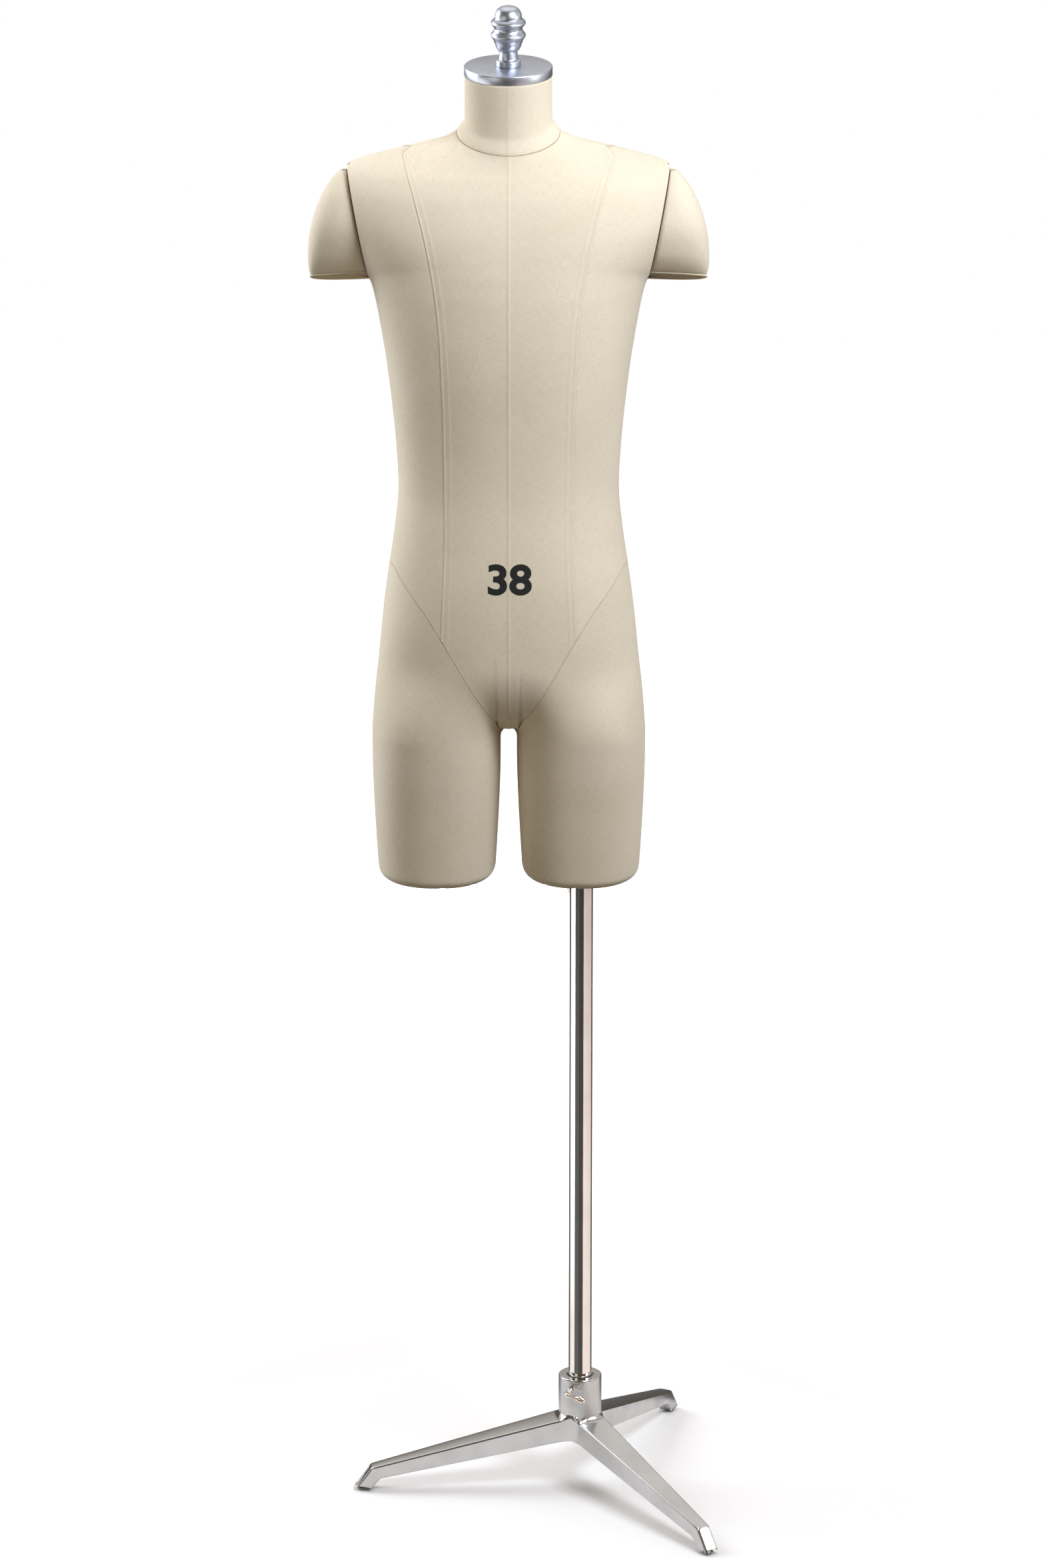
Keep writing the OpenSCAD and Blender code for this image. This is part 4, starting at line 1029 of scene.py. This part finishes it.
def leg_section(t):
    """Top point, bottom point and half width of a tripod leg at share t from its root to its ankle."""
    top = np.array([ROOT_R, ROOT_TOP]) + t * np.array([ANKLE_R - ROOT_R, ANKLE_Z - ROOT_TOP])
    low = np.array([ROOT_R, ROOT_LOW]) + t * np.array([INSTEP_R - ROOT_R, INSTEP_Z - ROOT_LOW])
    inwards = max(0, WEB_START - top[0])
    half = (ROOT_W + (FOOT_W - ROOT_W) * max(0, t)) / 2 + WEB_R - math.sqrt(WEB_R**2 - inwards**2)
    return top, low, half


def rounded_section(top, low, half):
    """Points round a section of a leg: flat faces with rounded corners, the top one slightly crowned."""
    tall = np.linalg.norm(top - low)
    up = (top - low) / tall
    r = min(CORNER_R, tall * 0.3, half * 0.4)
    outline = []
    for corner, (cx, cz) in enumerate([(half, 0), (half, tall), (-half, tall), (-half, 0)]):
        mx, mz = cx - math.copysign(r, cx), cz + (r if cz == 0 else -r)
        start = [-math.pi / 2, 0, math.pi / 2, math.pi][corner]
        for k in range(CORNER_STEPS):
            a = start + math.pi / 2 * k / (CORNER_STEPS - 1)
            outline.append((mx + r * math.cos(a), mz + r * math.sin(a)))
        if corner == 1:
            outline += [(x * half, tall + CROWN * (1 - x * x)) for x in (0.5, 0, -0.5)]
    return np.array([[low[0] + up[0] * z, x, low[1] + up[1] * z] for x, z in outline])


def tripod_leg():
    """Sections of a leg along +X, from inside the hub over the ankle to the toe's sole."""
    first = (WEB_START / 2 - 0.6 - ROOT_R) / (ANKLE_R - ROOT_R)
    shares = np.concatenate([np.linspace(first, 0.09, 28), np.linspace(0.11, 0.985, 26)])
    sections = [leg_section(t) for t in shares]
    ankle_top, ankle_low = np.array([ANKLE_R, ANKLE_Z]), np.array([INSTEP_R, INSTEP_Z])
    toe_top, toe_low = np.array([FOOT_REACH, SOLE_Z]), np.array([SOLE_IN, SOLE_Z])
    _, _, half = leg_section(1)
    sections.append((ankle_top + [-0.4, -0.1], ankle_low + [-0.5, -0.1], half))
    sections.append((ankle_top + [0.9, -0.9], ankle_low + [0.9, -0.9], half))
    for t in np.linspace(0.12, 1, 9):
        top, low = ankle_top + (toe_top - ankle_top) * t, ankle_low + (toe_low - ankle_low) * t
        sections.append((top, low, half))
    leg = np.array([rounded_section(*section) for section in sections])
    near = np.clip(HUB_R + SCOOP_R - np.hypot(leg[..., 0], leg[..., 1]), 0, SCOOP_R)
    rise = SCOOP_R - np.sqrt(SCOOP_R**2 - near**2)
    low, high = leg[..., 2].min(1, keepdims=True), leg[..., 2].max(1, keepdims=True)
    leg[..., 2] += rise * smoothstep(0.5, 0.9, (leg[..., 2] - low) / (high - low))
    return leg


HUB = [
    [0.01, 61.5], [12, 61.6], [18, 62.4], [22, 64.6], [24.6, 68], [25.8, 72], [26, 76], [26.2, 90],
    [HUB_R, 97], [HUB_R, 97], [HUB_R, HUB_TOP - 1.5], [HUB_R, HUB_TOP - 1.5],
    [HUB_R - 0.3, HUB_TOP - 0.6], [HUB_R - 0.9, HUB_TOP - 0.1], [HUB_R - 1.7, HUB_TOP],
    [HUB_R - 1.7, HUB_TOP], [POLE_R + 3, HUB_TOP], [POLE_R + 3, HUB_TOP], [POLE_R + 2.2, HUB_TOP - 0.4],
    [POLE_R + 1.7, HUB_TOP - 1.2], [POLE_R + 1.65, HUB_TOP - 4], [POLE_R + 1.65, HUB_TOP - 4],
    [POLE_R + 0.06, HUB_TOP - 4.2], [POLE_R + 0.06, HUB_TOP - 4.2], [POLE_R + 0.06, HUB_TOP - 30],
]
casting = [turned_mesh(catmull(HUB, 5), 128)]
leg = tripod_leg()
for degrees in LEG_ANGLES:
    a = math.radians(degrees)
    turn = np.array([[math.cos(a), -math.sin(a), 0], [math.sin(a), math.cos(a), 0], [0, 0, 1]])
    casting.append((leg.reshape(-1, 3) @ turn.T, capped_faces(*leg.shape[:2])))
points, faces = joined(casting)
base = piece("tripod_casting", points * MM + np.array([pole.x, pole.y, 0]), faces, CAST, "base",
             "polished_casting", ["tripod_base"], weld=2e-6, sharp=32)
flatten = base.modifiers.new("flat_faces", "WEIGHTED_NORMAL")
flatten.keep_sharp = True
flatten.weight = 80

# ---- size print ----------------------------------------------------------------------------------
PRINT_Z, PRINT_H, PRINT_W, PRINT_X = 1195.5, 37.5, 52, 1.6
PRINT_LIFT = 0.12       # how far the ink stands in front of the cloth


def printed_number(text):
    """A size number laid on the cloth at the front of the hip."""
    curve = bpy.data.curves.new("size_number", "FONT")
    curve.body = text
    curve.offset = 0.03
    curve.resolution_u = 16
    obj = bpy.data.objects.new("size_number_text", curve)
    bpy.context.scene.collection.objects.link(obj)
    mesh = bpy.data.meshes.new_from_object(obj.evaluated_get(bpy.context.evaluated_depsgraph_get()))
    bpy.data.objects.remove(obj)
    edit = bmesh.new()
    edit.from_mesh(mesh)
    bmesh.ops.remove_doubles(edit, verts=edit.verts, dist=1e-5)
    bmesh.ops.triangulate(edit, faces=edit.faces)
    for _ in range(4):
        long_edges = [e for e in edit.edges if e.calc_length() > 0.05]
        bmesh.ops.subdivide_edges(edit, edges=long_edges, cuts=1)
        bmesh.ops.triangulate(edit, faces=edit.faces)
    co = np.array([v.co for v in edit.verts])
    low, high = co.min(0), co.max(0)
    shares = (co - (low + high) / 2)[:, :2] / (high - low)[:2]
    x, z = shares[:, 0] * PRINT_W + PRINT_X, shares[:, 1] * PRINT_H + PRINT_Z
    half, n = column(BODY, z, 1), column(BODY, z, 4)
    y = -depth(-1, z, x, half, n) - ridge(np.abs(x)) - PRINT_LIFT
    points = from_form(np.stack([x, y, z], -1))
    for v, p in zip(edit.verts, points):
        v.co = p
    faces = [[v.index for v in f.verts] for f in edit.faces]
    edit.free()
    piece("printed_size_number", points, faces, INK, "form", "linen")


printed_number("38")

# ---- studio --------------------------------------------------------------------------------------
scene = bpy.context.scene
FLOOR_HALF, FLOOR_Z = 7, -0.0002
SHADED_R, BRIGHT_R = 0.5, 1.3      # the paper has no glow up to the first radius, full glow from the second


def stage_sheet(name, corners, faces, material, reflected_only=True):
    """A sheet of the studio, which is no part of the object."""
    mesh = bpy.data.meshes.new(name)
    mesh.from_pydata(corners, [], faces)
    mesh.materials.append(material)
    sheet = bpy.data.objects.new(name, mesh)
    scene.collection.objects.link(sheet)
    sheet.visible_diffuse = False      # bright sheets would light the linen from below
    sheet.visible_camera = sheet.visible_shadow = not reflected_only


paper = new_material("white_paper")
place = paper.add("TexCoord").outputs["Object"]
fibre = paper.noise(place, 40, 3.0)
far_away = paper.add("VectorMath", {0: place}, operation="LENGTH").outputs["Value"]
reach = {"Value": far_away, "From Min": SHADED_R, "From Max": BRIGHT_R}
brightness = paper.add("MapRange", reach).outputs[0]
paper.finish(Base_Color=paper.mix(fibre, (0.91, 0.89, 0.87, 1), (0.93, 0.91, 0.89, 1)), Roughness=0.9,
             Specular_IOR_Level=0.1, Emission_Color=(1, 1, 1, 1), Emission_Strength=brightness)
SQUARE = [(-1, -1), (1, -1), (1, 1), (-1, 1)]
corners = [(x * FLOOR_HALF, y * FLOOR_HALF, FLOOR_Z) for x, y in SQUARE]
stage_sheet("studio_floor", corners, [[0, 1, 2, 3]], paper.owner, False)

# Soft lights round the object: [azimuth from the camera, elevation, half angle, softness, strength, colour]
LAMPS = [
    [-112, 14, 18, 12, 0.9, (1.0, 1.05, 1.15)],
    [108, 14, 18, 12, 0.6, (1.0, 1.04, 1.12)],
    [180, 62, 24, 30, 0.8, (1.0, 1.0, 1.0)],
]
AMBIENT = (0.145, 0.122, 0.09)
scene.world = bpy.data.worlds.new("studio")
sky = Nodes(scene.world, "Background")
direction = sky.add("TexCoord").outputs["Generated"]
total = AMBIENT
for azimuth, elevation, half_angle, softness, strength, colour in LAMPS:
    a, e = math.radians(azimuth), math.radians(elevation)
    towards = (math.sin(a) * math.cos(e), -math.cos(a) * math.cos(e), math.sin(e))
    facing = sky.add("VectorMath", {0: direction, 1: towards}, operation="DOT_PRODUCT").outputs["Value"]
    outer, inner = (math.cos(math.radians(angle)) for angle in (half_angle + softness, half_angle))
    spot = sky.ramp(facing, outer, inner, 0.0, strength)
    glow = sky.add("VectorMath", {0: colour, "Scale": spot}, operation="SCALE").outputs[0]
    total = sky.add("VectorMath", {0: total, 1: glow}, operation="ADD").outputs[0]
seen = sky.add("LightPath").outputs["Is Camera Ray"]
sky.finish(Color=sky.mix(seen, total, (1, 1, 1, 1)), Strength=1.0)


def area_light(name, place, target, size, energy, colour=(1, 1, 1)):
    """A rectangular lamp that shines from a place towards a target."""
    data = bpy.data.lights.new(name, "AREA")
    data.shape = "RECTANGLE"
    data.size, data.size_y = size
    data.energy = energy
    data.color = colour
    lamp = bpy.data.objects.new(name, data)
    lamp.location = place
    lamp.rotation_euler = (Vector(target) - Vector(place)).to_track_quat("-Z", "Y").to_euler()
    scene.collection.objects.link(lamp)


area_light("key", (1.25, -1.35, 2.7), (0, 0, 1.45), (1.0, 1.0), 48, (1.0, 1.05, 1.15))
area_light("rim_left", (-1.7, 0.6, 1.95), (-0.1, 0, 1.4), (1.2, 1.5), 28, (1.0, 1.05, 1.15))
area_light("fill_left", (-1.5, -1.9, 1.5), (0, 0, 1.3), (1.2, 1.6), 6, (1.0, 0.98, 0.94))
area_light("overhead", (0, 0.6, 4.0), (0, 0, 0), (2.5, 2.5), 10)

# Cards round the pole: their reflections are the dark and light stripes of the polished tubes
CARD_Z = 0.0015
CARDS = [  # [start and end azimuth, nearest and farthest distance, colour]
    [-60, -18, 0.38, 12, (0.10, 0.092, 0.084)], [-18, 24, 0.38, 12, (0.045, 0.045, 0.047)],
    [24, 120, 0.38, 12, (0.96, 0.83, 0.77)], [120, 177, 0.3, 12, (0.08, 0.075, 0.07)],
    [-177, -120, 0.3, 12, (0.08, 0.075, 0.07)],
]
for index, (start, end, near, far, colour) in enumerate(CARDS):
    name = f"card_{index}"
    steps = np.radians(np.linspace(start, end, 24))
    rings = [(pole.x + r * math.sin(a), pole.y - r * math.cos(a), CARD_Z)
             for r in (near, far) for a in steps]
    stage_sheet(name, rings, grid_faces(2, len(steps)), plain(name, (*colour, 1), (*colour, 1), 0.9, 1))

# A white board beside the base: its reflection is the white foot of the front leg
BOARD_HALF, BOARD_X, BOARD_Y, BOARD_Z = 0.6, 2.2, -0.7, 1.5
glow = new_material("white_board").finish(
    Base_Color=(1, 1, 1, 1), Emission_Color=(1, 1, 1, 1), Emission_Strength=2.0)
corners = [(BOARD_X, BOARD_Y + y * BOARD_HALF, BOARD_Z + z * BOARD_HALF) for y, z in SQUARE]
stage_sheet("white_board", corners, [[0, 1, 2, 3]], glow)

# The photograph's viewing angle
CAMERA_X, CAMERA_DISTANCE, CAMERA_Z, CAMERA_PITCH = 0.0166, 7.0, 2.90, 15.86
camera_data = bpy.data.cameras.new("camera")
camera_data.lens = 137.6
camera_data.sensor_width = 36
camera = bpy.data.objects.new("camera", camera_data)
camera.location = (form.x + CAMERA_X, form.y - CAMERA_DISTANCE, CAMERA_Z)
camera.rotation_euler = (math.radians(90 - CAMERA_PITCH), 0, 0)
scene.collection.objects.link(camera)
scene.camera = camera
scene.view_settings.view_transform = "Standard"
